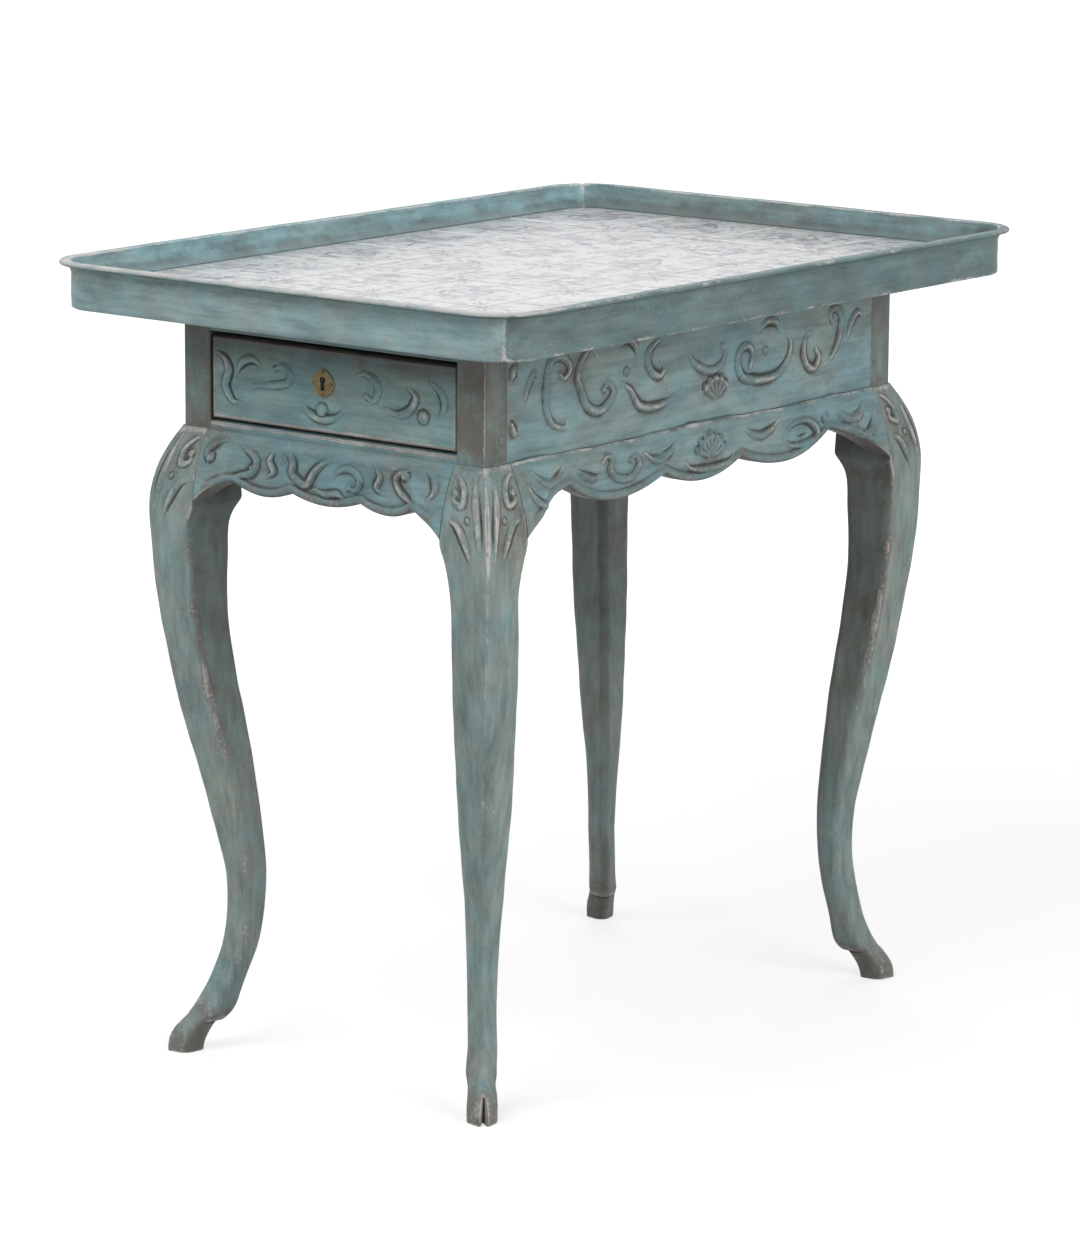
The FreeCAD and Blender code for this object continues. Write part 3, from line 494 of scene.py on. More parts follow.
def add_walls(bm: bmesh.types.BMesh, axis: int, place: float) -> None:
    """Run walls from a face's open edges straight to a plane.

    Args:
        bm: Bmesh of the face.
        axis: Number of the axis that the walls follow.
        place: Place of the plane on that axis, in metres.
    """
    made = bmesh.ops.extrude_edge_only(bm, edges=open_edges(bm))["geom"]
    for vert in made:
        if isinstance(vert, bmesh.types.BMVert):
            vert.co[axis] = place


def fix_order(bm: bmesh.types.BMesh) -> None:
    """Number corners, edges and faces by their places, because some operators leave them in any order.

    Args:
        bm: Bmesh of a piece.
    """
    for rows in (bm.verts, bm.edges, bm.faces):
        order = sorted(rows, key=lambda row: sum((v.co for v in getattr(row, "verts", [row])), Vector())[:])
        for number, row in enumerate(order):
            row.index = number
        rows.sort()


def read(rows: Any, name: str, wide: int = 3) -> Array:
    """Read one of the values that a mesh keeps for each of its corners.

    Args:
        rows: The mesh's rows that hold the value.
        name: Name of the value.
        wide: Count of numbers in it.

    Returns:
        Numbers, one row for each corner.
    """
    values = np.zeros(len(rows) * wide, np.float32)
    rows.foreach_get(name, values)
    return values.reshape(-1, wide).astype(float)


def mesh_points(mesh: Mesh) -> Array:
    """Corners of a mesh in millimetres."""
    return read(mesh.vertices, "co") / MM


def mesh_normals(mesh: Mesh) -> Array:
    """Outward directions at the corners of a mesh."""
    return read(mesh.vertex_normals, "vector")


def stored(mesh: Mesh, name: str) -> Array:
    """Values kept on a mesh under a name, one for each corner."""
    return read(mesh.attributes[name].data, "value", 1)[:, 0]


def store(mesh: Mesh, name: str, values: Array) -> None:
    """Keep one value per corner on a mesh, for its finish to read."""
    layer = mesh.attributes.get(name) or mesh.attributes.new(name, "FLOAT", "POINT")
    layer.data.foreach_set("value", np.asarray(values, np.float32))


def mark_relief(mesh: Mesh, rounds: int = 8, full: float = 1.0,
                extra: Any = 0.0, keep: Any = 1.0) -> None:
    """Store how far each corner stands out of its surroundings, as the attribute relief.

    Args:
        mesh: Mesh of a finished piece.
        rounds: Rounds of levelling that give the surroundings.
        full: Difference in millimetres that counts as a full crest or hollow.
        extra: Wear to add, one value or one for each corner; on the rims it also holds a painted highlight
            along the right side's foot and a painted shadow line under the lip.
        keep: Share of the relief that is kept, one value or one for each corner.
    """
    points = mesh_points(mesh)
    edges = np.zeros(len(mesh.edges) * 2, np.int32)
    mesh.edges.foreach_get("vertices", edges)
    a, b = edges.reshape(-1, 2).T
    many = len(points)
    count = np.maximum(np.bincount(a, minlength=many) + np.bincount(b, minlength=many), 1)
    level = points.copy()
    for _ in range(rounds):
        for axis in range(3):
            total = np.bincount(a, level[b, axis], many) + np.bincount(b, level[a, axis], many)
            level[:, axis] = (1 - LEVELLING) * level[:, axis] + LEVELLING * total / count
    stand = ((points - level) * mesh_normals(mesh)).sum(1) / full
    store(mesh, "relief", np.clip(stand * keep + extra, -RELIEF_LIMIT, RELIEF_LIMIT))


class NodeSheet:
    """A node tree being laid out, one wired node at a time."""

    def __init__(self, tree: NodeTree) -> None:
        """Take over the node tree of a material, a world or a group."""
        self.tree = tree

    def add(self, kind: str, inputs: dict[Any, Any] | None = None, **settings: Any) -> Node:
        """Add a node.

        Args:
            kind: Node type after its common prefix.
            inputs: Values or sockets by input name or number.
            settings: Properties of the node.

        Returns:
            The new node.
        """
        node = self.tree.nodes.new("ShaderNode" + kind)
        for key, value in settings.items():
            setattr(node, key, value)
        for key, value in (inputs or {}).items():
            self.feed(node.inputs[key], value)
        return node

    def feed(self, socket: Socket, value: Any) -> None:
        """Wire an input to another node, or set its value.

        Args:
            socket: Input of a node.
            value: Output to wire it to, or its value.
        """
        if isinstance(value, Socket):
            self.tree.links.new(value, socket)
        elif socket.type == "RGBA" and len(value) == 3:
            socket.default_value = (*value, 1.0)
        else:
            socket.default_value = value

    def math(self, operation: str, a: Any, b: Any = 0.0, c: Any = 0.0) -> Socket:
        """Result of one sum on up to three values."""
        return self.add("Math", {0: a, 1: b, 2: c}, operation=operation).outputs[0]

    def times(self, a: Any, b: Any) -> Socket:
        """Product of two values."""
        return self.math("MULTIPLY", a, b)

    def scaled(self, value: Any, by: Any, plus: Any) -> Socket:
        """A value times another, and a third added."""
        return self.math("MULTIPLY_ADD", value, by, plus)

    def weighted(self, a: Any, share: float, b: Any, other: float) -> Socket:
        """Sum of two values, each with its own weight."""
        return self.scaled(a, share, self.times(b, other))

    def mix(self, share: Any, a: Any, b: Any, blend: str = "MIX") -> Socket:
        """Blend of two colours."""
        node = self.add("Mix", {0: share, 6: a, 7: b}, data_type="RGBA", blend_type=blend)
        return node.outputs[2]

    def rise(self, value: Any, low: Any, high: Any, top: float = 1.0) -> Socket:
        """Smooth rise from 0 at low to top at high."""
        node = self.add("MapRange", {0: value, 1: low, 2: high, 4: top}, interpolation_type="SMOOTHSTEP")
        return node.outputs[0]

    def noise(self, vector: Any, scale: float, detail: float = 3.0, rough: float = 0.55) -> Socket:
        """Cloudy noise between 0 and 1."""
        inputs = {"Vector": vector, "Scale": scale, "Detail": detail, "Roughness": rough}
        return self.add("TexNoise", inputs).outputs[0]

    def stretched(self, vector: Any, scale: Sequence[float], shift: Sequence[float] = (0, 0, 0)) -> Socket:
        """Vector scaled and shifted axis by axis."""
        return self.add("Mapping", {"Vector": vector, "Scale": scale, "Location": shift}).outputs[0]

    def shifted(self, vector: Any, shift: Sequence[float]) -> Socket:
        """Vector moved axis by axis."""
        return self.stretched(vector, (1.0, 1.0, 1.0), shift)


class EffectGroup:
    """A shader node group that gives a colour, a roughness and a height, built once."""

    name: str = ""
    takes: dict[str, Any] = {}
    gives: dict[str, str] = {"Color": "Color", "Roughness": "Float", "Height": "Float"}

    def tree(self) -> NodeTree:
        """Build the group's node tree, or find it after its first use.

        Returns:
            The node tree.
        """
        found = bpy.data.node_groups.get(self.name)
        if found:
            return found
        tree = bpy.data.node_groups.new(self.name, "ShaderNodeTree")
        kinds = {float: "NodeSocketFloat", tuple: "NodeSocketColor", str: "NodeSocketVector"}
        for name, value in self.takes.items():
            socket = tree.interface.new_socket(name, in_out="INPUT", socket_type=kinds[type(value)])
            if isinstance(value, float):
                socket.default_value = value
            elif isinstance(value, tuple):
                socket.default_value = (*value, 1.0)
        for name, kind in self.gives.items():
            tree.interface.new_socket(name, in_out="OUTPUT", socket_type="NodeSocket" + kind)
        source = tree.nodes.new("NodeGroupInput").outputs
        target = tree.nodes.new("NodeGroupOutput").inputs
        for name, socket in zip(self.gives, self.lay(NodeSheet(tree), source)):
            tree.links.new(socket, target[name])
        return tree

    def lay(self, sheet: NodeSheet, takes: Any) -> Coat:
        """Lay the group's nodes and return its colour, roughness and height."""
        raise NotImplementedError

    def use(self, sheet: NodeSheet, inputs: dict[str, Any]) -> Coat:
        """Place the group in a material, with values or sockets by input name."""
        node = sheet.add("Group", inputs, node_tree=self.tree())
        return tuple(node.outputs[name] for name in self.gives)


class WoodGrain(EffectGroup):
    """Bare wood: long fibres, growth bands, stains and dark spots."""

    name = "WoodGrain"
    takes = {"Vector": "", "Grain": "", "Pale": (0.40, 0.27, 0.15), "Dark": (0.20, 0.12, 0.06),
             "Stain": 0.4}
    stained: Colour = (0.09, 0.062, 0.04)
    spotted: Colour = (0.05, 0.04, 0.03)

    def lay(self, sheet: NodeSheet, takes: Any) -> Coat:
        """Lay the group's nodes.

        Args:
            sheet: Node sheet of the group.
            takes: Sockets of the group's inputs.

        Returns:
            Its colour, roughness and height.
        """
        fibre = sheet.noise(takes["Grain"], 420.0, 4.0, 0.6)
        band = sheet.noise(takes["Grain"], 55.0, 3.0, 0.6)
        ring = sheet.math("SINE", sheet.times(band, 34.0))
        growth = sheet.scaled(ring, 0.28, 0.45)
        cloud = sheet.noise(takes["Vector"], 14.0, 4.0)
        spot = sheet.noise(takes["Vector"], 140.0, 4.0)
        tone = sheet.weighted(fibre, 0.7, growth, 0.45)
        colour = sheet.mix(sheet.rise(tone, 0.3, 0.85), takes["Dark"], takes["Pale"])
        stain = sheet.times(sheet.rise(cloud, 0.45, 0.72), takes["Stain"])
        colour = sheet.mix(stain, colour, self.stained)
        colour = sheet.mix(sheet.rise(spot, 0.62, 0.75, 0.35), colour, self.spotted)
        rough = sheet.scaled(fibre, 0.25, 0.55)
        height = sheet.weighted(fibre, 0.7, growth, 0.3)
        return colour, rough, height


class WornPaint(EffectGroup):
    """Old brushed paint: clouded colour, streaks, pale rubbed crests, bare wood, dark hollows that also carry
    painted shadow, and a dark film of dirt and painted shade.
    """

    name = "WornPaint"
    takes = {"Vector": "", "Grain": "", "Relief": 0.0, "Grime": 0.0, "Thin": 0.0,
             "Cool": (0.165, 0.262, 0.285), "Grey": (0.200, 0.245, 0.225), "Pale": (0.64, 0.61, 0.60),
             "Wood": (0.160, 0.132, 0.110), "Rub": 1.0, "Bare": 1.0}
    fresh: Colour = (0.150, 0.290, 0.290)
    faded: Colour = (0.185, 0.18, 0.17)
    packed_dirt_and_shadow: Colour = (0.030, 0.030, 0.026)
    greasy_film_and_shade: Colour = (0.050, 0.047, 0.042)
    brush_follow: float = 0.72

    def lay(self, sheet: NodeSheet, takes: Any) -> Coat:
        """Lay the group's nodes.

        Args:
            sheet: Node sheet of the group.
            takes: Sockets of the group's inputs.

        Returns:
            Its colour, roughness and height.
        """
        place, grain, relief = takes["Vector"], takes["Grain"], takes["Relief"]
        drift = sheet.add("Mix", {0: self.brush_follow, 4: place, 5: grain}, data_type="VECTOR").outputs[1]
        cloud = sheet.noise(place, 9.0, 3.0)
        patch = sheet.noise(place, 36.0, 5.0, 0.6)
        patchy = sheet.math("SUBTRACT", patch, 0.5)
        wash = sheet.noise(sheet.shifted(drift, (3.1, 1.7, 5.3)), 24.0, 4.0, 0.6)
        dapple = sheet.noise(sheet.shifted(drift, (7.7, 2.9, 1.3)), 66.0, 3.0, 0.6)
        fleck = sheet.noise(place, 300.0, 3.0, 0.6)
        speck = sheet.noise(place, 900.0, 2.0, 0.5)
        streak = sheet.noise(grain, 190.0, 4.0, 0.6)
        hair = sheet.noise(grain, 640.0, 3.0, 0.6)

        hue = sheet.weighted(cloud, 0.6, patch, 0.4)
        colour = sheet.mix(sheet.rise(hue, 0.36, 0.63), takes["Cool"], takes["Grey"])
        colour = sheet.mix(sheet.rise(wash, 0.52, 0.72, 0.34), colour, self.fresh)
        colour = sheet.mix(sheet.rise(wash, 0.46, 0.30, 0.26), colour, self.faded)
        shade = sheet.scaled(streak, 0.86, sheet.scaled(hair, 0.26, 0.44))
        shade = sheet.scaled(fleck, 0.16, sheet.math("SUBTRACT", shade, 0.08))
        shade = sheet.scaled(sheet.math("SUBTRACT", dapple, 0.5), 1.2, shade)
        tint = sheet.add("CombineColor", {0: shade, 1: shade, 2: shade}).outputs[0]
        colour = sheet.mix(1.0, colour, tint, "MULTIPLY")

        thin = sheet.weighted(patch, 0.6, streak, 0.4)
        thin = sheet.scaled(takes["Thin"], 0.34, thin)
        thin = sheet.times(sheet.rise(thin, 0.58, 0.76, 0.72), takes["Bare"])
        colour = sheet.mix(thin, colour, takes["Wood"])

        crest = sheet.math("ADD", sheet.math("SUBTRACT", fleck, 0.5), relief)
        crest = sheet.scaled(patchy, 1.9, crest)
        rubbed = sheet.times(sheet.rise(crest, 0.40, 0.95), takes["Rub"])
        colour = sheet.mix(sheet.times(rubbed, 0.85), colour, takes["Pale"])
        worn = sheet.scaled(patchy, -2.4, relief)
        bare = sheet.times(sheet.rise(worn, 0.62, 1.05, 0.65), takes["Bare"])
        colour = sheet.mix(bare, colour, takes["Wood"])

        chips = sheet.weighted(speck, 0.55, fleck, 0.45)
        chips = sheet.times(sheet.rise(chips, 0.585, 0.65, 0.4), sheet.rise(wash, 0.42, 0.60))
        colour = sheet.mix(chips, colour, takes["Pale"])

        # Dark hollows: packed dirt, and painted shadow where the relief carries it, as in the line under the
        # rim's lip.
        deep = sheet.weighted(patchy, 0.7, relief, -1.0)
        dirt = sheet.rise(deep, 0.06, 0.62, 0.86)
        colour = sheet.mix(dirt, colour, self.packed_dirt_and_shadow)
        # Dark film from the stored values: dirt, and painted shade on the legs' inner faces, the rails'
        # undersides and the drawer front's top.
        mottle = sheet.scaled(takes["Grime"], 0.6, 0.25)
        film = sheet.scaled(patchy, mottle, takes["Grime"])
        colour = sheet.mix(sheet.rise(film, 0.04, 1.0, 0.85), colour, self.greasy_film_and_shade)

        rough = sheet.scaled(streak, 0.22, sheet.scaled(chips, 0.2, 0.42))
        rough = sheet.scaled(dirt, 0.2, rough)
        height = sheet.weighted(streak, 0.5, hair, 0.5)
        sunk = sheet.weighted(bare, 0.35, chips, 0.45)
        return colour, rough, sheet.math("SUBTRACT", height, sunk)


class Tarnish(EffectGroup):
    """Metal skin: cloudy tarnish, rubbed high spots and fine scratches."""

    name = "Tarnish"
    takes = {"Vector": "", "Relief": 0.0, "Bright": (0.5, 0.38, 0.16), "Dull": (0.14, 0.10, 0.05),
             "Rough": 0.35}
    scratch_stretch: tuple[float, float, float] = (1.0, 1.0, 0.06)

    def lay(self, sheet: NodeSheet, takes: Any) -> Coat:
        """Lay the group's nodes.

        Args:
            sheet: Node sheet of the group.
            takes: Sockets of the group's inputs.

        Returns:
            Its colour, roughness and height.
        """
        cloud = sheet.noise(takes["Vector"], 120.0, 5.0, 0.6)
        grit = sheet.noise(takes["Vector"], 900.0, 4.0, 0.6)
        scratch = sheet.noise(sheet.stretched(takes["Vector"], self.scratch_stretch), 1500.0, 2.0)
        mottle = sheet.scaled(grit, 0.4, cloud)
        polish = sheet.scaled(takes["Relief"], 0.5, mottle)
        colour = sheet.mix(sheet.rise(polish, 0.5, 0.95), takes["Dull"], takes["Bright"])
        rough = sheet.scaled(cloud, 0.3, takes["Rough"])
        height = sheet.weighted(grit, 0.6, scratch, 0.4)
        return colour, rough, height


class Finish:
    """A finish of the table: a material laid out from a node group, with its bump's strength and depth."""

    name: str
    group: ClassVar[EffectGroup]
    bump: float
    depth: float
    constants: ClassVar[dict[str, float]] = {}
    stored: ClassVar[tuple[str, ...]] = ("relief", "grime", "thin")

    @staticmethod
    def place(sheet: NodeSheet) -> Socket:
        """Places on the object."""
        return sheet.add("TexCoord").outputs["Object"]

    @staticmethod
    def attribute(sheet: NodeSheet, name: str) -> Socket:
        """Value stored on the mesh under a name."""
        return sheet.add("Attribute", attribute_name=name).outputs["Fac"]

    def lay(self, sheet: NodeSheet) -> Coat:
        """Lay the group, fed with the finish's own values and with those stored on the mesh.

        Args:
            sheet: Node sheet of the material.

        Returns:
            Its colour, roughness and height.
        """
        place = self.place(sheet)
        inputs = {"Vector": place}
        for name in self.group.takes:
            own = name.lower()
            if name == "Grain":
                inputs[name] = sheet.stretched(place, self.grain.value)
            elif own in self.stored:
                inputs[name] = self.attribute(sheet, own)
            elif hasattr(self, own):
                inputs[name] = getattr(self, own)
        return self.group.use(sheet, inputs)

    def material(self) -> Material:
        """Build the finish as a material, or find it after its first use.

        Returns:
            The material.
        """
        found = bpy.data.materials.get(self.name)
        if found:
            return found
        material = bpy.data.materials.new(self.name)
        material.use_nodes = True
        sheet = NodeSheet(material.node_tree)
        surface = material.node_tree.nodes["Principled BSDF"].inputs
        colour, rough, height = self.lay(sheet)
        bump = sheet.add("Bump", {"Height": height, "Strength": self.bump, "Distance": self.depth})
        made = {"Base Color": colour, "Roughness": rough, "Normal": bump.outputs[0], **self.constants}
        for name, value in made.items():
            sheet.feed(surface[name], value)
        return material

    def dress(self, obj: Object) -> None:
        """Give an object this finish alone."""
        obj.data.materials.clear()
        obj.data.materials.append(self.material())


class Grain(Enum):
    """Axis that a board's fibres and brush strokes follow, as the stretch of their pattern."""

    ACROSS = (0.07, 1.0, 1.0)
    LENGTH = (1.0, 0.07, 1.0)
    UPRIGHT = (1.0, 1.0, 0.07)


@dataclass(frozen=True)
class PaintFinish(Finish):
    """Worn blue-green paint on wood."""

    name: str
    grain: Grain
    cool: Colour
    grey: Colour
    rub: float = 1.0
    bare: float = 0.9
    group: ClassVar[EffectGroup] = WornPaint()
    bump: float = 0.55
    depth: float = 0.0006
    constants: ClassVar[dict[str, float]] = {"Specular IOR Level": 0.35}


@dataclass(frozen=True)
class BareWoodFinish(Finish):
    """Unpainted wood inside and under the table."""

    name: str
    grain: Grain
    pale: Colour
    dark: Colour
    stain: float
    group: ClassVar[EffectGroup] = WoodGrain()
    bump: float = 0.5
    depth: float = 0.0005
    constants: ClassVar[dict[str, float]] = {"Specular IOR Level": 0.3}


@dataclass(frozen=True)
class MetalFinish(Finish):
    """Tarnished metal of the lock and its fittings."""

    name: str
    bright: Colour
    dull: Colour
    rough: float
    group: ClassVar[EffectGroup] = Tarnish()
    bump: float = 0.35
    depth: float = 0.0003
    constants: ClassVar[dict[str, float]] = {"Metallic": 1.0}


@dataclass(frozen=True)
class MortarFinish(Finish):
    """Lime mortar under and between the tiles."""

    name: str = "lime_mortar"
    damp: Colour = (0.36, 0.355, 0.34)
    dry: Colour = (0.49, 0.48, 0.46)
    sand: Colour = (0.26, 0.245, 0.225)
    bump: float = 0.6
    depth: float = 0.0008

    def lay(self, sheet: NodeSheet) -> Coat:
        """Lay the material's nodes.

        Args:
            sheet: Node sheet of the material.

        Returns:
            Its colour, roughness and height.
        """
        place = self.place(sheet)
        cloud = sheet.noise(place, 30.0, 4.0)
        grit = sheet.noise(place, 700.0, 4.0, 0.7)
        colour = sheet.mix(cloud, self.damp, self.dry)
        colour = sheet.mix(sheet.rise(grit, 0.55, 0.75, 0.5), colour, self.sand)
        return colour, sheet.scaled(grit, 0.2, 0.75), grit


@dataclass(frozen=True)
class GlazeFinish(Finish):
    """White tin glaze with soft painted marks, fine cracks and chipped edges."""

    name: str = "tin_glaze"
    cold_white: Colour = (0.66, 0.675, 0.67)
    warm_white: Colour = (0.76, 0.75, 0.725)
    blue_white: Colour = (0.64, 0.66, 0.70)
    blue_ink: Colour = (0.075, 0.10, 0.19)
    purple_ink: Colour = (0.17, 0.105, 0.145)
    soft_blue: Colour = (0.115, 0.165, 0.225)
    soft_violet: Colour = (0.255, 0.215, 0.285)
    soft_rose: Colour = (0.50, 0.385, 0.365)
    soiled_and_shaded: Colour = (0.33, 0.36, 0.36)
    crack: Colour = (0.30, 0.27, 0.23)
    biscuit: Colour = (0.46, 0.36, 0.27)
    bump: float = 0.25
    depth: float = 0.0012

    def painted(self, sheet: NodeSheet, place: Any, cloud: Any, brush: Any) -> Socket:
        """Colour of the white glaze with its blots and strokes.

        Args:
            sheet: Node sheet of the material.
            place: Places on the object.
            cloud: Broad noise.
            brush: Noise as fine as a brush's marks.

        Returns:
            The colour.
        """
        tone = self.attribute(sheet, "tone")
        white = sheet.mix(cloud, self.cold_white, self.warm_white)
        white = sheet.mix(sheet.times(tone, 0.5), white, self.blue_white)
        dab = sheet.noise(place, 62.0, 2.0, 0.5)
        touch = sheet.noise(sheet.shifted(place, (4.3, 8.1, 2.2)), 135.0, 3.0, 0.6)
        blot = sheet.weighted(dab, 0.55, touch, 0.45)
        blot = sheet.times(sheet.rise(blot, 0.46, 0.62), self.attribute(sheet, "spread"))
        hue = sheet.noise(sheet.shifted(place, (1.9, 6.7, 0.8)), 48.0, 2.0)
        soft = sheet.mix(sheet.rise(hue, 0.36, 0.52), self.soft_blue, self.soft_violet)
        soft = sheet.mix(sheet.rise(hue, 0.52, 0.66), soft, self.soft_rose)
        colour = sheet.mix(sheet.math("MINIMUM", blot, 0.85), white, soft)
        ink = sheet.times(self.attribute(sheet, "ink"), sheet.rise(brush, 0.20, 0.55))
        pigment = sheet.mix(sheet.rise(tone, 0.45, 0.6), self.blue_ink, self.purple_ink)
        return sheet.mix(sheet.math("MINIMUM", ink, 0.92), colour, pigment)

    def lay(self, sheet: NodeSheet) -> Coat:
        """Lay the material's nodes.

        Args:
            sheet: Node sheet of the material.

        Returns:
            Its colour, roughness and height.
        """
        place = self.place(sheet)
        cloud = sheet.noise(place, 16.0, 3.0)
        brush = sheet.noise(place, 260.0, 4.0, 0.65)
        fine = sheet.noise(place, 800.0, 3.0)
        colour = self.painted(sheet, place, cloud, brush)
        # Grey from the stored values: painted shade along the tile edges, and dirt with painted shade near
        # the rim.
        soil = sheet.scaled(cloud, 0.8, 0.25)
        soil = sheet.times(self.attribute(sheet, "soil"), soil)
        colour = sheet.mix(soil, colour, self.soiled_and_shaded)
        cells = sheet.add("TexVoronoi", {"Vector": place, "Scale": 210.0}, feature="DISTANCE_TO_EDGE")
        crackle = sheet.math("SUBTRACT", 1.0, sheet.rise(cells.outputs["Distance"], 0.0, 0.035))
        crackle = sheet.times(crackle, sheet.rise(cloud, 0.45, 0.7, 0.28))
        colour = sheet.mix(crackle, colour, self.crack)
        ragged = sheet.math("SUBTRACT", brush, 0.5)
        chip = sheet.scaled(ragged, 2.2, self.attribute(sheet, "relief"))
        chip = sheet.rise(chip, 1.05, 1.25)
        colour = sheet.mix(chip, colour, self.biscuit)
        gloss = sheet.scaled(fine, 0.12, sheet.scaled(cloud, 0.12, 0.08))
        rough = sheet.scaled(chip, 0.5, gloss)
        wavy = sheet.noise(place, 60.0, 2.0)
        swell = sheet.weighted(wavy, 0.85, fine, 0.15)
        return colour, rough, swell


PAINT_ACROSS = PaintFinish("paint_across", Grain.ACROSS, (0.168, 0.292, 0.322), (0.212, 0.290, 0.282))
PAINT_LENGTH = PaintFinish("paint_length", Grain.LENGTH, (0.185, 0.308, 0.334), (0.232, 0.308, 0.296))
PAINT_DRAWER = PaintFinish("paint_drawer", Grain.ACROSS, (0.202, 0.354, 0.377), (0.253, 0.354, 0.336))
PAINT_UPRIGHT = PaintFinish("paint_upright", Grain.UPRIGHT, (0.200, 0.285, 0.286), (0.252, 0.287, 0.257),
                            bare=1.0)
PAINT_PEGS = PaintFinish("paint_pegs", Grain.UPRIGHT, (0.130, 0.172, 0.172), (0.152, 0.168, 0.158), bare=1.0)
# Each side of the rim has its own paint: the front and left lighter as painted light, the right and back
# darker as painted shade.
RIM_PAINTS_SHADED_BY_SIDE = {
    facing: PaintFinish("rim_%s_paint" % facing.name.lower(), grain, cool, grey, rub=0.8, bare=0.3)
    for facing, grain, cool, grey in (
        (Facing.FRONT, Grain.ACROSS, (0.221, 0.352, 0.370), (0.267, 0.352, 0.343)),
        (Facing.RIGHT, Grain.LENGTH, (0.115, 0.194, 0.203), (0.138, 0.190, 0.184)),
        (Facing.BACK, Grain.ACROSS, (0.150, 0.245, 0.260), (0.180, 0.245, 0.240)),
        (Facing.LEFT, Grain.LENGTH, (0.201, 0.358, 0.392), (0.232, 0.347, 0.360)))}
PINE_PALE: Colour = (0.36, 0.235, 0.125)
PINE_DARK: Colour = (0.19, 0.115, 0.06)
PINE_ACROSS = BareWoodFinish("aged_pine_across", Grain.ACROSS, PINE_PALE, PINE_DARK, 0.55)
PINE_LENGTH = BareWoodFinish("aged_pine_length", Grain.LENGTH, PINE_PALE, PINE_DARK, 0.55)
PINE_UPRIGHT = BareWoodFinish("aged_pine_upright", Grain.UPRIGHT, PINE_PALE, PINE_DARK, 0.5)
CLEAN_PALE: Colour = (0.50, 0.345, 0.19)
CLEAN_DARK: Colour = (0.30, 0.19, 0.10)
DRAWER_ACROSS = BareWoodFinish("drawer_pine_across", Grain.ACROSS, CLEAN_PALE, CLEAN_DARK, 0.3)
DRAWER_LENGTH = BareWoodFinish("drawer_pine_length", Grain.LENGTH, CLEAN_PALE, CLEAN_DARK, 0.3)
IRON = MetalFinish("forged_iron", (0.22, 0.20, 0.18), (0.06, 0.05, 0.045), 0.45)
BRASS = MetalFinish("tarnished_brass", (0.20, 0.150, 0.078), (0.080, 0.062, 0.036), 0.40)
MORTAR = MortarFinish()
GLAZE = GlazeFinish()


def settle(obj: Object, finish: Finish, body: str, nodes: Sequence[str]) -> None:
    """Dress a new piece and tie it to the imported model.

    Args:
        obj: Finished piece.
        finish: Its finish.
        body: Body that carries it.
        nodes: Nodes that it stands for.
    """
    finish.dress(obj)
    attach(obj, body)
    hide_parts(*nodes)
    LOG.info("%s: %d faces, on %s", obj.name, len(obj.data.polygons), body)


def arc_points(a: Point, b: Point, c: Point, count: int) -> Array:
    """Points on the circle from a through b to c.

    Args:
        a: First point.
        b: A point between.
        c: Last point.
        count: Number of points, both ends among them.

    Returns:
        Points, one row each.
    """
    pa, pb, pc = (complex(*p) for p in (a, b, c))
    w = (pc - pa) / (pb - pa)
    centre = (pb - pa) * (w - abs(w) ** 2) / (w - w.conjugate()) + pa
    radius = abs(pa - centre)
    half = np.angle((pb - centre) / (pa - centre))
    rest = np.angle((pc - centre) / (pb - centre))
    turn = np.angle(pa - centre) + np.linspace(0, 1, count) * (half + rest)
    return np.stack([centre.real + radius * np.cos(turn), centre.imag + radius * np.sin(turn)], -1)


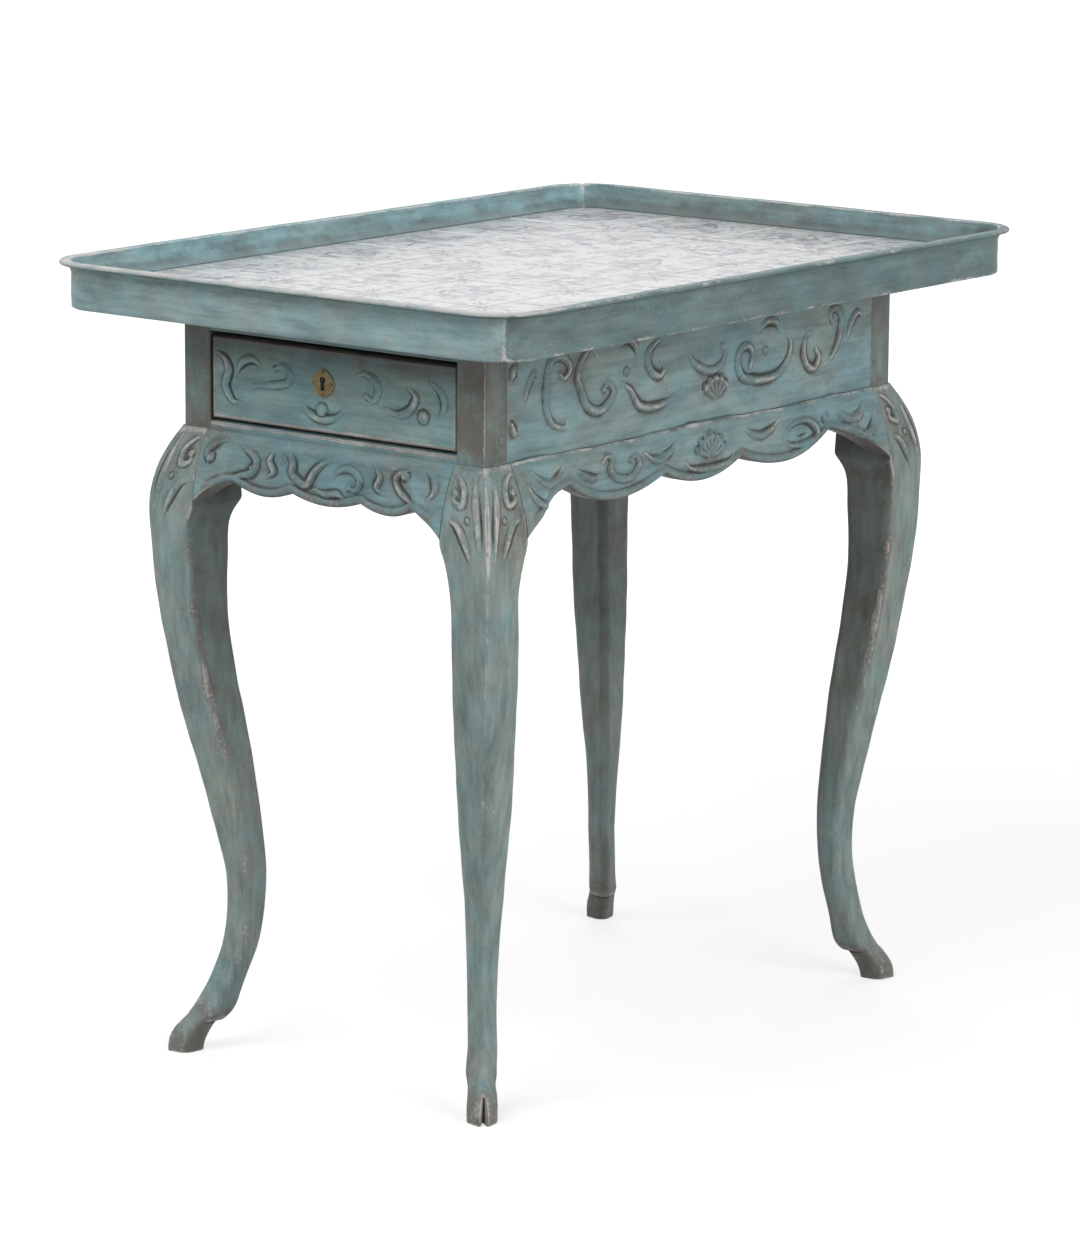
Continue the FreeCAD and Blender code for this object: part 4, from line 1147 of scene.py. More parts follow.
@dataclass
class RimPiece:
    """One mitred side of the tray's moulded rim, with half of the rounded corner at each end.

    Its section is given as distances out and up from the foot of the tile field's edge.
    """

    node: str
    facing: Facing
    finish: Finish
    seed: float
    sole: tuple[Point, ...] = ((8, 0), (12, 0), (15.6, 0), (16.5, 0.5))
    wall: tuple[Point, ...] = ((17, 1.5), (17, 33))
    cove: tuple[Point, ...] = ((17, 33), (19.64, 38.66), (26, 41))
    lip: tuple[Point, ...] = ((26, 41), (28, 43), (26, 45))
    crown: tuple[Point, ...] = ((24, 45), (18.6, 45))
    brow: tuple[Point, ...] = ((17.9, 44.8),)
    slope: tuple[Point, ...] = ((17.3, 44.4), (12.0, 31.64), (0, 23.6))
    rebate: tuple[Point, ...] = ((0, 18), (0, 12), (4, 12), (8, 12), (8, 6))
    field_radius: float = 27.0
    corner_rings: int = 14
    ring_step: float = 3.2
    joint_shrink: float = 0.5 / 14
    sway: float = 0.32
    lift: float = 0.3
    mitre_width: float = 4.5
    mitre_rub: float = 0.72
    lip_rub: float = 0.18
    near_lip_rub: float = 0.60
    near_end: Zone = (-400, -250)
    foot_rub_and_highlight: float = 0.46
    shadow_under_lip: Zone = (40.2, 1.1)
    shadow_under_lip_strength: float = 0.75
    slope_foot: float = 23.6
    slope_darkening: float = 0.62

    @property
    def edge(self) -> float:
        """Distance of the tile field's edge from the table's middle."""
        return SIZES.field_half_length if self.facing.across else SIZES.field_half_width

    @property
    def straight(self) -> float:
        """Half the length of the piece between its rounded corners."""
        run = SIZES.field_half_width if self.facing.across else SIZES.field_half_length
        return run - self.field_radius

    def shape(self) -> Object:
        """Sweep the section along the piece and round its corners, a little unevenly.

        Returns:
            The new object.
        """
        straight, bend = self.straight, self.corner_rings
        count = int(2 * straight / self.ring_step)
        turns = np.concatenate([np.linspace(-45, 0, bend + 1)[:-1], np.zeros(count),
                                np.linspace(0, 45, bend + 1)[1:]])
        turns = np.radians(turns)[:, None]
        base = np.concatenate([np.full(bend, -straight), np.linspace(-straight, straight, count),
                               np.full(bend, straight)])
        base = base[:, None]
        section = np.vstack([self.sole, np.linspace(*self.wall, 12), arc_points(*self.cove, 9)[1:],
                             arc_points(*self.lip, 9)[1:], np.linspace(*self.crown, 4), self.brow,
                             arc_points(*self.slope, 14), self.rebate])
        middle = section.mean(0)
        shrink = np.ones((len(turns), 1))
        shrink[[0, -1]] = 1 - self.joint_shrink
        out = middle[0] + (section[None, :, 0] - middle[0]) * shrink
        up = middle[1] + (section[None, :, 1] - middle[1]) * shrink
        sway = self.sway * ripple(base * 0.6, up * 4, self.seed) * ease(out, 9, 15)
        lift = self.lift * ripple(base * 0.5, out, self.seed + 2) * ease(up, 30, 44)
        radius = self.field_radius + out + sway
        along = base + radius * np.sin(turns)
        reach = radius * np.cos(turns) - self.field_radius
        points = self.facing.place(self.edge, along, reach, SIZES.tray_bottom + up + lift)
        return rolled_mesh("painted_" + self.node, points)

    def mark_age(self, mesh: Mesh) -> None:
        """Store the wear of the piece: rubbed lip and mitres, a pale line along the right side's foot that is
        wear and painted highlight, a painted shadow line under the lip, and an inner slope darker towards the
        tiles.

        Args:
            mesh: Mesh of the piece.
        """
        points = mesh_points(mesh)
        run, away = np.abs(points[:, :2] if self.facing.across else points[:, 1::-1]).T
        past = run - self.straight
        reach = away - (self.edge - self.field_radius)
        out = np.where(past > 0, np.hypot(past, reach), reach) - self.field_radius
        level = points[:, 2] - SIZES.tray_bottom
        mitre = hump(past, reach, self.mitre_width) * (past > 0)
        near = 1 if self.facing is Facing.FRONT else 1 - ease(points[:, 1], *self.near_end)
        lip = (self.lip_rub + self.near_lip_rub * near) * ease(level, 42.2, 43.6)
        # Pale line along the right side's lower arris: wear and painted highlight.
        foot = self.foot_rub_and_highlight * (1 - ease(level, 1.2, 4.2)) * (self.facing is Facing.RIGHT)
        # Painted shadow: a dark line under the lip's nose.
        shadow_under_lip = hump(level, *self.shadow_under_lip) * ease(out, 19, 23)
        keep = ease(level, -1, 7) * ease(np.abs(level - self.slope_foot), 1.5, 5)
        keep *= 1 - 0.75 * ease(out, 16, 18) * (level < 42)
        keep *= 1 - np.minimum(1.3 * mitre, 1)
        extra = self.mitre_rub * mitre + lip + foot - self.shadow_under_lip_strength * shadow_under_lip
        mark_relief(mesh, full=1.3, extra=extra, keep=keep)
        # Inner slope darker towards its foot by the tiles.
        slope = ease(16.5 - out, 0, 3) * (level > 22)
        store(mesh, "grime", self.slope_darkening * slope * (1 - ease(level, 24, 41)))

    def build(self) -> None:
        """Build and dress the piece."""
        obj = self.shape()
        self.mark_age(obj.data)
        settle(obj, self.finish, "table", [self.node])


@dataclass
class TrayRim:
    """Moulded rim of the tray: four mitred pieces."""

    finishes: dict[Facing, Finish] = field(default_factory=lambda: RIM_PAINTS_SHADED_BY_SIDE)

    def build(self) -> None:
        """Build all four sides."""
        for seed, (facing, finish) in enumerate(self.finishes.items(), start=1):
            RimPiece("rim_" + facing.name.lower(), facing, finish, float(seed)).build()


@dataclass(frozen=True)
class BrushStroke:
    """Stroke of thin colour on a tile, strongest where it starts."""

    points: tuple[Point, ...]
    width: float = 1.3
    strength: float = 0.8
    core: float = 0.35
    fringe: float = 1.5

    def ink(self, points: Array) -> Array:
        """Lay the stroke on a tile.

        Args:
            points: Points of the tile, one row each.

        Returns:
            Strength of the colour at each point.
        """
        line = smooth_line(self.points, 6)
        low, high = line.min(0) - 3 * self.width, line.max(0) + 3 * self.width
        found = np.zeros(len(points))
        near = np.flatnonzero(np.all((points > low) & (points < high), axis=1))
        if len(near):
            gap, share, _ = line_distance(points[near], line)
            edge = 1 - ease(gap, self.core * self.width, self.fringe * self.width)
            found[near] = self.strength * edge * (1.1 - 0.45 * share)
        return found


def fine_lines(*lines: tuple[Point, ...]) -> list[BrushStroke]:
    """Strokes of a fine brush along lines."""
    return [BrushStroke(line, 1.2, 0.8) for line in lines]


def ring(x: float, y: float, radius: float, count: int) -> list[Point]:
    """Points once round a circle, the first one again at the end."""
    turns = np.linspace(0, 2 * math.pi, count + 1).tolist()
    return [(x + radius * math.cos(turn), y + radius * math.sin(turn)) for turn in turns]


class TileMotif(Enum):
    """Small traditional subjects of the tiles, as strokes in millimetres from a tile's middle."""

    SPRIG = (
        BrushStroke(((1, -27), (-4, -10), (3, 4), (0, 15)), 1.2),
        *(BrushStroke(((-1, -14), (8 * side, -8), (15 * side, -11)), 2.6, 0.55) for side in (-1, 1)),
        *(BrushStroke(((1, 0), (9 * side, 6), (14 * side, 4)), 2.0, 0.5) for side in (-1, 1)),
        *(BrushStroke(((0, 19), (9 * math.cos(turn), 19 + 9 * math.sin(turn))), 2.7, 0.6)
          for turn in (math.radians(60 * petal + 20) for petal in range(6))),
    )
    COTTAGE = (
        *fine_lines(
            ((-30, -9), (-14, -11), (4, -9), (30, -11)), ((-13, -9), (-13, 4)), ((3, -9), (3, 4)),
            ((-15, 3), (-5, 13), (5, 3)), ((-13, 3), (3, 3)), ((15, -10), (16, 4)),
            ((-24, -16), (-9, -17)), ((2, -19), (17, -18)), ((20, -14), (31, -15))),
        BrushStroke(((10, 7), (16, 13), (22, 8), (16, 5)), 4.2, 0.5),
        BrushStroke(((-8, -7), (-8, 1)), 2.2, 0.4),
        BrushStroke(((-28, -8), (-22, -2), (-18, -8)), 3.0, 0.4),
    )
    BOAT = (
        *fine_lines(
            ((-17, -6), (-11, -12), (9, -12), (17, -6)), ((-17, -6), (0, -7), (17, -6)), ((0, -7), (0, 21)),
            ((0, 20), (11, 7), (13, -3)), ((0, 18), (-8, 6), (-10, -2)), ((-30, -15), (-12, -16)),
            ((-4, -17), (13, -17)), ((15, -14), (31, -16)), ((-16, -22), (4, -22)), ((0, 21), (6, 23))),
        BrushStroke(((4, 10), (6, 1)), 5.0, 0.28),
        BrushStroke(((-4, 7), (-5, 0)), 3.6, 0.28),
    )
    BOWL = (
        BrushStroke(((-15, -3), (-11, -12), (0, -15), (11, -12), (15, -3)), 1.5),
        BrushStroke(((-15, -3), (0, -5), (15, -3)), 1.2),
        BrushStroke(((-7, -20), (0, -18), (7, -20)), 2.0),
        *(BrushStroke(tuple(ring(x, y, 5.2, 8)), 1.1, 0.75) for x, y in ((-8, 3), (7, 3), (0, 11))),
        *(BrushStroke(((x - 1, y - 1), (x + 2, y + 1)), 3.2, 0.35) for x, y in ((-8, 3), (7, 3), (0, 11))),
        *(BrushStroke(((6 * side, 12), (13 * side, 17), (18 * side, 13)), 2.4, 0.5) for side in (-1, 1)),
    )


# Strokes of a corner's leaf motif, in millimetres in from the corner.
CORNER_LEAVES = (
    BrushStroke(((5, 5), (12, 12), (17, 17)), 2.1, 0.7),
    BrushStroke(((5, 8), (7, 16), (13, 20)), 1.5, 0.6),
    BrushStroke(((8, 5), (16, 7), (20, 13)), 1.5, 0.6),
    BrushStroke(((20, 20), (21, 21)), 1.7, 0.7),
)


@dataclass
class GlazedTile:
    """Loose glazed tile in its bed, a little uneven and painted by hand."""

    row: int
    column: int
    motif: TileMotif
    rounded: tuple[int, int] | None
    cells: int = 92
    corner_radius: float = 25.0
    arris: float = 1.5
    arris_drop: float = 0.75
    top_spare: float = 0.3
    tilt: float = 0.16
    swell: float = 0.22
    uneven: float = 0.08
    motif_scale: float = 1.7
    motif_stray: float = 2.5
    ink_range: Zone = (0.85, 1.1)
    side_height: float = 4.0
    blots: float = 0.62
    left_blots: float = 0.20
    left_zone: Zone = (-120, 260)
    far_blots: float = 0.14
    far_zone: Zone = (-60, 380)
    edge_loss: float = 0.2
    edge_zone: Zone = (44, 66)
    blot_range: Zone = (0.85, 1.15)
    joint_edge_shade: float = 0.75
    joint_reach: Zone = (0.4, 2.2)
    rim_soil: float = 0.62
    rim_reach: Zone = (6, 44)

    def __post_init__(self) -> None:
        """Take the tile's place from its node and start its own random draws."""
        self.node = "tile_r%d_c%d" % (self.row, self.column)
        self.low, self.high = (np.array(c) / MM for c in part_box(self.node))
        self.centre = (self.low + self.high) / 2
        self.half = (self.high[0] - self.low[0]) / 2
        self.draws = np.random.default_rng(100 * self.row + self.column)

    def round_corner(self, flat: Array) -> Array:
        """Draw the face's points in to the tray's rounded corner.

        Args:
            flat: Points of the square face from its middle, which are changed.

        Returns:
            How far each point lies in from the rounded edge, up to the arris.
        """
        start = self.half - self.corner_radius
        past = flat * self.rounded - start
        inside = np.all(past > TINY, axis=1)
        squeeze = past[inside].max(1) / np.hypot(*past[inside].T)
        flat[inside] = (past[inside] * squeeze[:, None] + start) * self.rounded
        reach = self.corner_radius - np.hypot(*np.clip(past, 0, None).T)
        return np.where(inside, reach, self.arris)

    def shape(self) -> Object:
        """Shape the tile from a grid, with eased edges and a tilted, slightly domed face.

        Returns:
            The new object.
        """
        bm = bmesh.new()
        bmesh.ops.create_grid(bm, x_segments=self.cells, y_segments=self.cells, size=1.0)
        flat = np.array([v.co[:2] for v in bm.verts]) * self.half
        rounding = self.round_corner(flat) if self.rounded else self.arris
        border = np.minimum(self.half - np.abs(flat).max(1), rounding)
        drop = self.arris * self.arris_drop * (1 - np.clip(border / self.arris, 0, 1)) ** 2
        tilt = self.draws.uniform(-self.tilt, self.tilt, 2)
        swell = self.swell * (1 - (np.abs(flat).max(1) / self.half) ** 2)
        uneven = self.uneven * ripple(*flat.T, self.row * 3.7 + self.column * 1.9)
        height = self.high[2] - self.top_spare - drop + swell + flat @ tilt / self.half + uneven
        for vert, (x, y), z in zip(bm.verts, flat.tolist(), height.tolist()):
            vert.co = Vector((self.centre[0] + x, self.centre[1] + y, z)) * MM
        add_walls(bm, 2, self.low[2] * MM)
        bmesh.ops.holes_fill(bm, edges=open_edges(bm), sides=0)
        fix_order(bm)
        return finished_object("painted_" + self.node, bm)

    def corner_strokes(self) -> list[BrushStroke]:
        """Lay the leaf motif in each corner of the tile.

        Returns:
            Its strokes, in millimetres from the tile's middle.
        """
        made = []
        for way in ((-1, -1), (-1, 1), (1, -1), (1, 1)):
            for leaf in CORNER_LEAVES:
                points = way * (self.half - np.array(leaf.points))
                made.append(replace(leaf, points=tuple(map(tuple, points))))
        return made

    def paint(self, mesh: Mesh) -> None:
        """Store the tile's painted marks, its soft blots, painted shade along its edges, dirt and painted
        shade near the rim, and its tone.

        Args:
            mesh: Mesh of the tile.
        """
        points = mesh_points(mesh)
        local = points[:, :2] - self.centre[:2]
        stray = self.draws.uniform(-self.motif_stray, self.motif_stray, 2)
        flip = self.draws.choice((-1.0, 1.0))
        face = (local - stray) * [flip, 1.0] / self.motif_scale
        marks = [stroke.ink(face) for stroke in self.motif.value]
        marks += [stroke.ink(local) for stroke in self.corner_strokes()]
        top_face = points[:, 2] > self.low[2] + self.side_height
        store(mesh, "ink", np.max(marks, axis=0) * self.draws.uniform(*self.ink_range) * top_face)
        blots = self.blots + self.left_blots * ease(-points[:, 0], *self.left_zone)
        blots += self.far_blots * ease(points[:, 1], *self.far_zone)
        blots *= 1 - self.edge_loss * ease(np.hypot(*local.T), *self.edge_zone)
        store(mesh, "spread", blots * self.draws.uniform(*self.blot_range) * top_face)
        # Painted shade along the tile's edges, and dirt with painted shade near the rim.
        margin = np.minimum(SIZES.field_half_width - np.abs(points[:, 0]),
                            SIZES.field_half_length - np.abs(points[:, 1]))
        by_joint = self.joint_edge_shade * (1 - ease(self.half - np.abs(local).max(1), *self.joint_reach))
        by_rim = self.rim_soil * (1 - ease(margin, *self.rim_reach))
        store(mesh, "soil", np.maximum(by_joint, by_rim))
        store(mesh, "tone", np.full(len(points), self.draws.uniform()))
        mark_relief(mesh, rounds=5, full=1.6)

    def build(self) -> None:
        """Shape, paint and dress the tile."""
        obj = self.shape()
        self.paint(obj.data)
        settle(obj, GLAZE, "table", [self.node])


@dataclass
class TileField:
    """The field of tiles, in rows from the drawer end and columns from the left."""

    rows: int = 6
    columns: int = 4
    motifs: tuple[TileMotif, ...] = tuple(TileMotif)

    def build(self) -> None:
        """Build all tiles; every row has each subject once."""
        for row in range(1, self.rows + 1):
            for column in range(1, self.columns + 1):
                motif = self.motifs[(row + row // 3 + 3 * column) % len(self.motifs)]
                at_corner = row in (1, self.rows) and column in (1, self.columns)
                way = (-1 if column == 1 else 1, -1 if row == 1 else 1)
                GlazedTile(row, column, motif, way if at_corner else None).build()


@dataclass
class LegWear:
    """Wear of one leg: rubbed corners, inner faces darkened by dirt and painted shade, a scuffed hoof and a
    thinly painted post.

    Its parts are shares from 0 to 1, and its wear is made from them for each corner of the mesh.
    """

    mesh: Mesh
    sx: int
    sy: int

    def __post_init__(self) -> None:
        """Measure the leg once and find its parts."""
        points, normal = mesh_points(self.mesh), mesh_normals(self.mesh)
        out_x, out_y = self.sx * normal[:, 0], self.sy * normal[:, 1]
        self.height = points[:, 2]
        self.drop = SIZES.ledge - self.height
        self.u = np.abs(points[:, 0]) - SIZES.half_width
        self.v = np.abs(points[:, 1]) - SIZES.half_length
        self.post = ease(self.height, SIZES.ledge - 1, SIZES.ledge + 3)
        self.hoof = 1 - ease(self.height, 20, 92)
        self.shank = (1 - ease(self.height, 200, 420)) * (1 - self.hoof)
        self.inward = np.maximum(ease(-out_x, 0.25, 0.8), ease(-out_y, 0.25, 0.8))
        self.inner_corner = ease(-(out_x + out_y) / ROOT_TWO, 0.72, 1.0)
        self.sideways = np.abs(out_x - out_y) / ROOT_TWO
        self.end_face = ease(np.abs(out_y), 0.5, 0.9)

    def rubbed(self) -> Array:
        """Wear of the corners, the knee's carving, the edge under the post and the hoof.

        Returns:
            Wear to add to the relief.
        """
        off_corner = np.abs(self.u - self.v)
        above_hoof = self.height > 60
        corner = 0.35 * hump(off_corner, 0, 2) * (1 + 1.5 * hump(self.drop, 46, 17)) * above_hoof
        flank = 0.65 * hump(off_corner, 13, 4) * hump(self.drop, 34, 15)
        groove = 0.40 * hump(off_corner, 7, 2.4) * hump(self.drop, 38, 20)
        knee = (corner + flank - groove) * (self.u + self.v > -20)
        arris = ease(self.sideways, 0.9, 0.985) * above_hoof * (1 - self.post)
        handled = 0.16 + 0.36 * hump(self.height, 370, 75)
        top_edge = hump(self.drop, 2.5, 3.2)
        return knee + arris * handled + 0.52 * top_edge + 0.28 * self.hoof + 0.08 * self.shank

    def mark(self) -> None:
        """Store the wear: little relief by the joints, a dark film of dirt and painted shade, and thin paint.
        """
        ledge, height, post = SIZES.ledge, self.height, self.post
        joint = np.minimum(np.abs(self.u + SIZES.post), np.abs(self.v + SIZES.post)) < 1.5
        joint &= height > ledge - SIZES.ear_drop - 4
        by_ledge = ease(height, ledge - 4, ledge - 1) * (1 - ease(height, ledge + 6, ledge + 12))
        keep = np.where(joint, 0.0, 1.0) * (1 - 0.85 * by_ledge)
        mark_relief(self.mesh, full=0.75, extra=self.rubbed(), keep=keep)
        # Darker film: inner faces as dirt and painted shade, more so higher up under the tray; the inner
        # corner as painted shade; the knee also darker; the post and the hoof as dirt.
        film = self.inward * (0.26 + 0.32 * ease(height, 150, 420))
        film += 0.24 * ease(height, 520, 560) + 0.28 * self.inner_corner
        film = film * (1 - post) + post * (0.53 - 0.26 * self.end_face) + 0.24 * self.hoof
        store(self.mesh, "grime", film)
        scuffed = ease(self.sideways, 0.74, 0.96) * hump(height, 390, 120)
        flank = ease(self.u - self.v, 4, 14) * hump(self.drop, 62, 38) * (self.u + self.v > -24)
        thin = post * (0.30 + 0.26 * self.end_face) + 0.12 * self.inward + 0.62 * scuffed
        store(self.mesh, "thin", thin + 0.42 * flank + 0.64 * self.hoof - 0.5 * self.shank)


def at_heights(steps: Sequence[Sequence[float]], heights: Array, column: int = 1) -> Array:
    """Values at heights from a table of steps, whose first column holds heights."""
    table = np.array(steps)
    return np.interp(heights, table[:, 0], table[:, column])


@dataclass
class CabrioleLeg:
    """Cabriole leg with its post, carved knee, shank and cloven hoof.

    The tables give a measure at each height: the axis out from the post's outer corner, the fuller
    inner knee, the ankle's share of its packed width, and each leg's lean out and across.
    """

    pattern: str = "leg_back_right"
    sides: int = 176
    crowding: float = 0.35
    ring_runs: tuple[tuple[float, float, float], ...] = (
        (0, 44, 1.6), (44, 470, 3.0), (470, 530, 2.0), (530, SIZES.ledge - 1.2, 1.4))
    ledge_rings: tuple[float, ...] = (-0.9, -0.25, -0.02, 0.02)
    post_step: float = 2.4
    probe_start: float = 130.0
    probe_missed: float = 100.0
    ear_depth: float = 60.0
    ring_smoothing: float = 0.3
    axis: tuple[Point, ...] = (
        (0, 2.5), (8, 1.5), (20, -3.75), (30, -13), (39, -21), (60, -31.5), (82, -39), (112, -46.8),
        (147, -50.2), (182, -49.5), (227, -43.2), (280, -34.2), (345, -21.5), (410, -12), (465, -8),
        (530, -8), (570, -14), (613, -22.6), (725, -22.6))
    inner_swell: tuple[Point, ...] = ((430, 0), (500, 3.5), (545, 8), (562, 7), (585, 0))
    ankle_share: tuple[Point, ...] = ((0, 0.95), (24, 0.94), (60, 0.92), (110, 0.93), (200, 0.97), (290, 1.0))
    lean: dict[str, tuple[tuple[float, float, float], ...]] = field(default_factory=lambda: {
        "front_left": ((0, 2, 0), (26, 2, 0), (55, 0, 0), (100, -4, 0), (175, -5, 0),
                       (260, -3, 0), (360, 0, 0)),
        "front_right": ((0, 0, 0), (30, 0, 1), (60, 0, 4), (200, 0, 6), (280, 0, 5),
                        (380, 0, 3), (540, 0, 0)),
        "back_left": ((0, 0, -6), (26, 0, -6), (52, 0, -4), (110, 0, 0)),
        "back_right": ((0, -2, 0), (26, -2, 0), (52, 0, 0), (110, 4, 0), (175, 5, 0),
                       (350, 4, 0), (520, 0, 0))})
    carving: tuple[Carving, ...] = (
        Ridge(((0, 10), (0.6, 50), (0, 116)), 3.0, 1.2, 0.3, 0.3, 0.1),
        Ridge(((12, 8), (14, 30), (12, 56), (8, 92)), 2.8, 1.4, 0.5, 0.4, 0.15),
        Ridge(((44, 10), (33, 9), (26, 20), (30, 33), (39, 31), (37, 23)), 3.0, 2.0, 0.9, 0.3, 0.5, 3.2),
        Ridge(((46, 48), (36, 52), (27, 68), (19, 90)), 3.0, 1.3, 0.5, 0.4, 0.2),
        Boss((24, 46), 2.6, 1.6),
    )
    uneven: float = 0.55
    uneven_drop: Zone = (70, 110)
    coronet_groove: Zone = (33.5, 2.6)
    coronet_ring: Zone = (39, 3.5)
    seed_step: float = 1.3

    def heights(self) -> Array:
        """Heights of the rings, closest where the leg is carved.

        Returns:
            Heights above the floor, rising.
        """
        runs = [np.arange(*run) for run in self.ring_runs]
        post = np.arange(SIZES.ledge + 2, SIZES.tray_bottom - 1, self.post_step)
        return np.concatenate([*runs, SIZES.ledge + np.array(self.ledge_rings), post, [SIZES.tray_bottom]])

    def ring(self, skin: CadSkin, height: float, middle: float, way: Array) -> Array:
        """Measure one ring of the leg on the +X +Y corner.

        Args:
            skin: Faces of the pattern leg.
            height: Height of the ring.
            middle: Place of its middle out along X and Y from the post's outer corner.
            way: Unit directions round the middle, level, one row each.

        Returns:
            Places out along X and Y from the post's outer corner, one row each.
        """
        s = SIZES
        level = way[:, :2]
        with np.errstate(divide="ignore"):
            back = np.where(level < -TINY, (-s.post - middle) / level, np.inf).min(1)
            face = np.where(level > TINY, -middle / level, np.inf).min(1)
        if height > s.ledge:
            radius = np.minimum(back, face)
        else:
            centre = np.array([s.half_width + middle, s.half_length + middle, max(height, 0.05)])
            gone = skin.probe((centre + self.probe_start * way) * MM, -way) / MM
            radius = self.probe_start - np.nan_to_num(gone, nan=self.probe_missed)
            hit = middle + radius[:, None] * level
            hole = np.all((hit < -0.5) & (hit > 0.5 - s.post), axis=1) & (height > s.ledge - s.ear_drop)
            radius = np.where(hole, np.minimum(back, self.ear_depth), radius)
        return middle + radius[:, None] * level

    def outline(self) -> tuple[Array, Array]:
        """Rings of the leg on the +X +Y corner, with a fuller inner knee and a slimmer ankle.

        Returns:
            Places out along X and along Y from the post's outer corner, by ring and side.
        """
        heights = self.heights()
        middle = at_heights(self.axis, heights) / ROOT_TWO
        turn = np.linspace(0, 2 * math.pi, self.sides, endpoint=False)
        turn = turn - self.crowding * np.sin(4 * turn) / 4 + math.pi / 4
        way = np.stack([np.cos(turn), np.sin(turn), np.zeros_like(turn)], -1)
        skin = CadSkin(self.pattern)
        rings = np.stack([self.ring(skin, height, place, way) for height, place in zip(heights, middle)])
        beside = 0.5 * (np.roll(rings, 1, 1) + np.roll(rings, -1, 1))
        rings += self.ring_smoothing * (beside - rings)
        u, v = rings[..., 0], rings[..., 1]
        swell = at_heights(self.inner_swell, heights)[:, None] / ROOT_TWO
        swell = swell * ease(2 * middle[:, None] - u - v, 6, 30)
        narrow = (1 - at_heights(self.ankle_share, heights)[:, None]) * (u - v) / 2
        return u - swell - narrow, v - swell + narrow

    def carved(self, u: Array, v: Array, seed: float) -> tuple[Array, Array]:
        """Lay the knee's carving, the hoof's coronet and the hand's unevenness over the rings.

        Args:
            u: Places out along X.
            v: Places out along Y.
            seed: Number that sets the unevenness.

        Returns:
            The two places after carving.
        """
        heights = np.broadcast_to(self.heights()[:, None], u.shape)
        drop = SIZES.ledge - heights
        forward = u + v - 2 * at_heights(self.axis, heights) / ROOT_TWO
        knee = np.stack([np.abs(u - v).ravel(), drop.ravel()], -1)
        rise = carve(knee, self.carving).reshape(u.shape) * ease(forward, 4, 14) * ease(drop, 0.5, 3)
        uneven = self.uneven * ripple(u * 3 + heights * 0.8, v * 3 - heights * 0.5, seed)
        rise += uneven * ease(drop, *self.uneven_drop)
        coronet = 0.25 * hump(heights, *self.coronet_ring) - 0.2 * hump(heights, *self.coronet_groove)
        rise += coronet * ease(forward, -22, 2)
        du, dv = (np.roll(place, -1, 1) - np.roll(place, 1, 1) for place in (u, v))
        size = np.maximum(np.hypot(du, dv), TINY)
        return u + rise * dv / size, v - rise * du / size

    def build(self) -> None:
        """Build and dress the four legs from one pattern."""
        u, v = self.outline()
        heights = self.heights()[:, None]
        for count, (corner, lean) in enumerate(self.lean.items(), start=1):
            sx = 1 if corner.endswith("right") else -1
            sy = 1 if corner.startswith("back") else -1
            a, b = self.carved(u, v, count * self.seed_step)
            out = at_heights(lean, heights, 1) / ROOT_TWO
            across = at_heights(lean, heights, 2) / ROOT_TWO
            x = sx * (SIZES.half_width + a + out + across)
            y = sy * (SIZES.half_length + b + out - across)
            points = np.stack(np.broadcast_arrays(x, y, heights), -1) * MM
            obj = rolled_mesh("carved_leg_" + corner, points)
            LegWear(obj.data, sx, sy).mark()
            settle(obj, PAINT_UPRIGHT, "table", ["leg_" + corner])


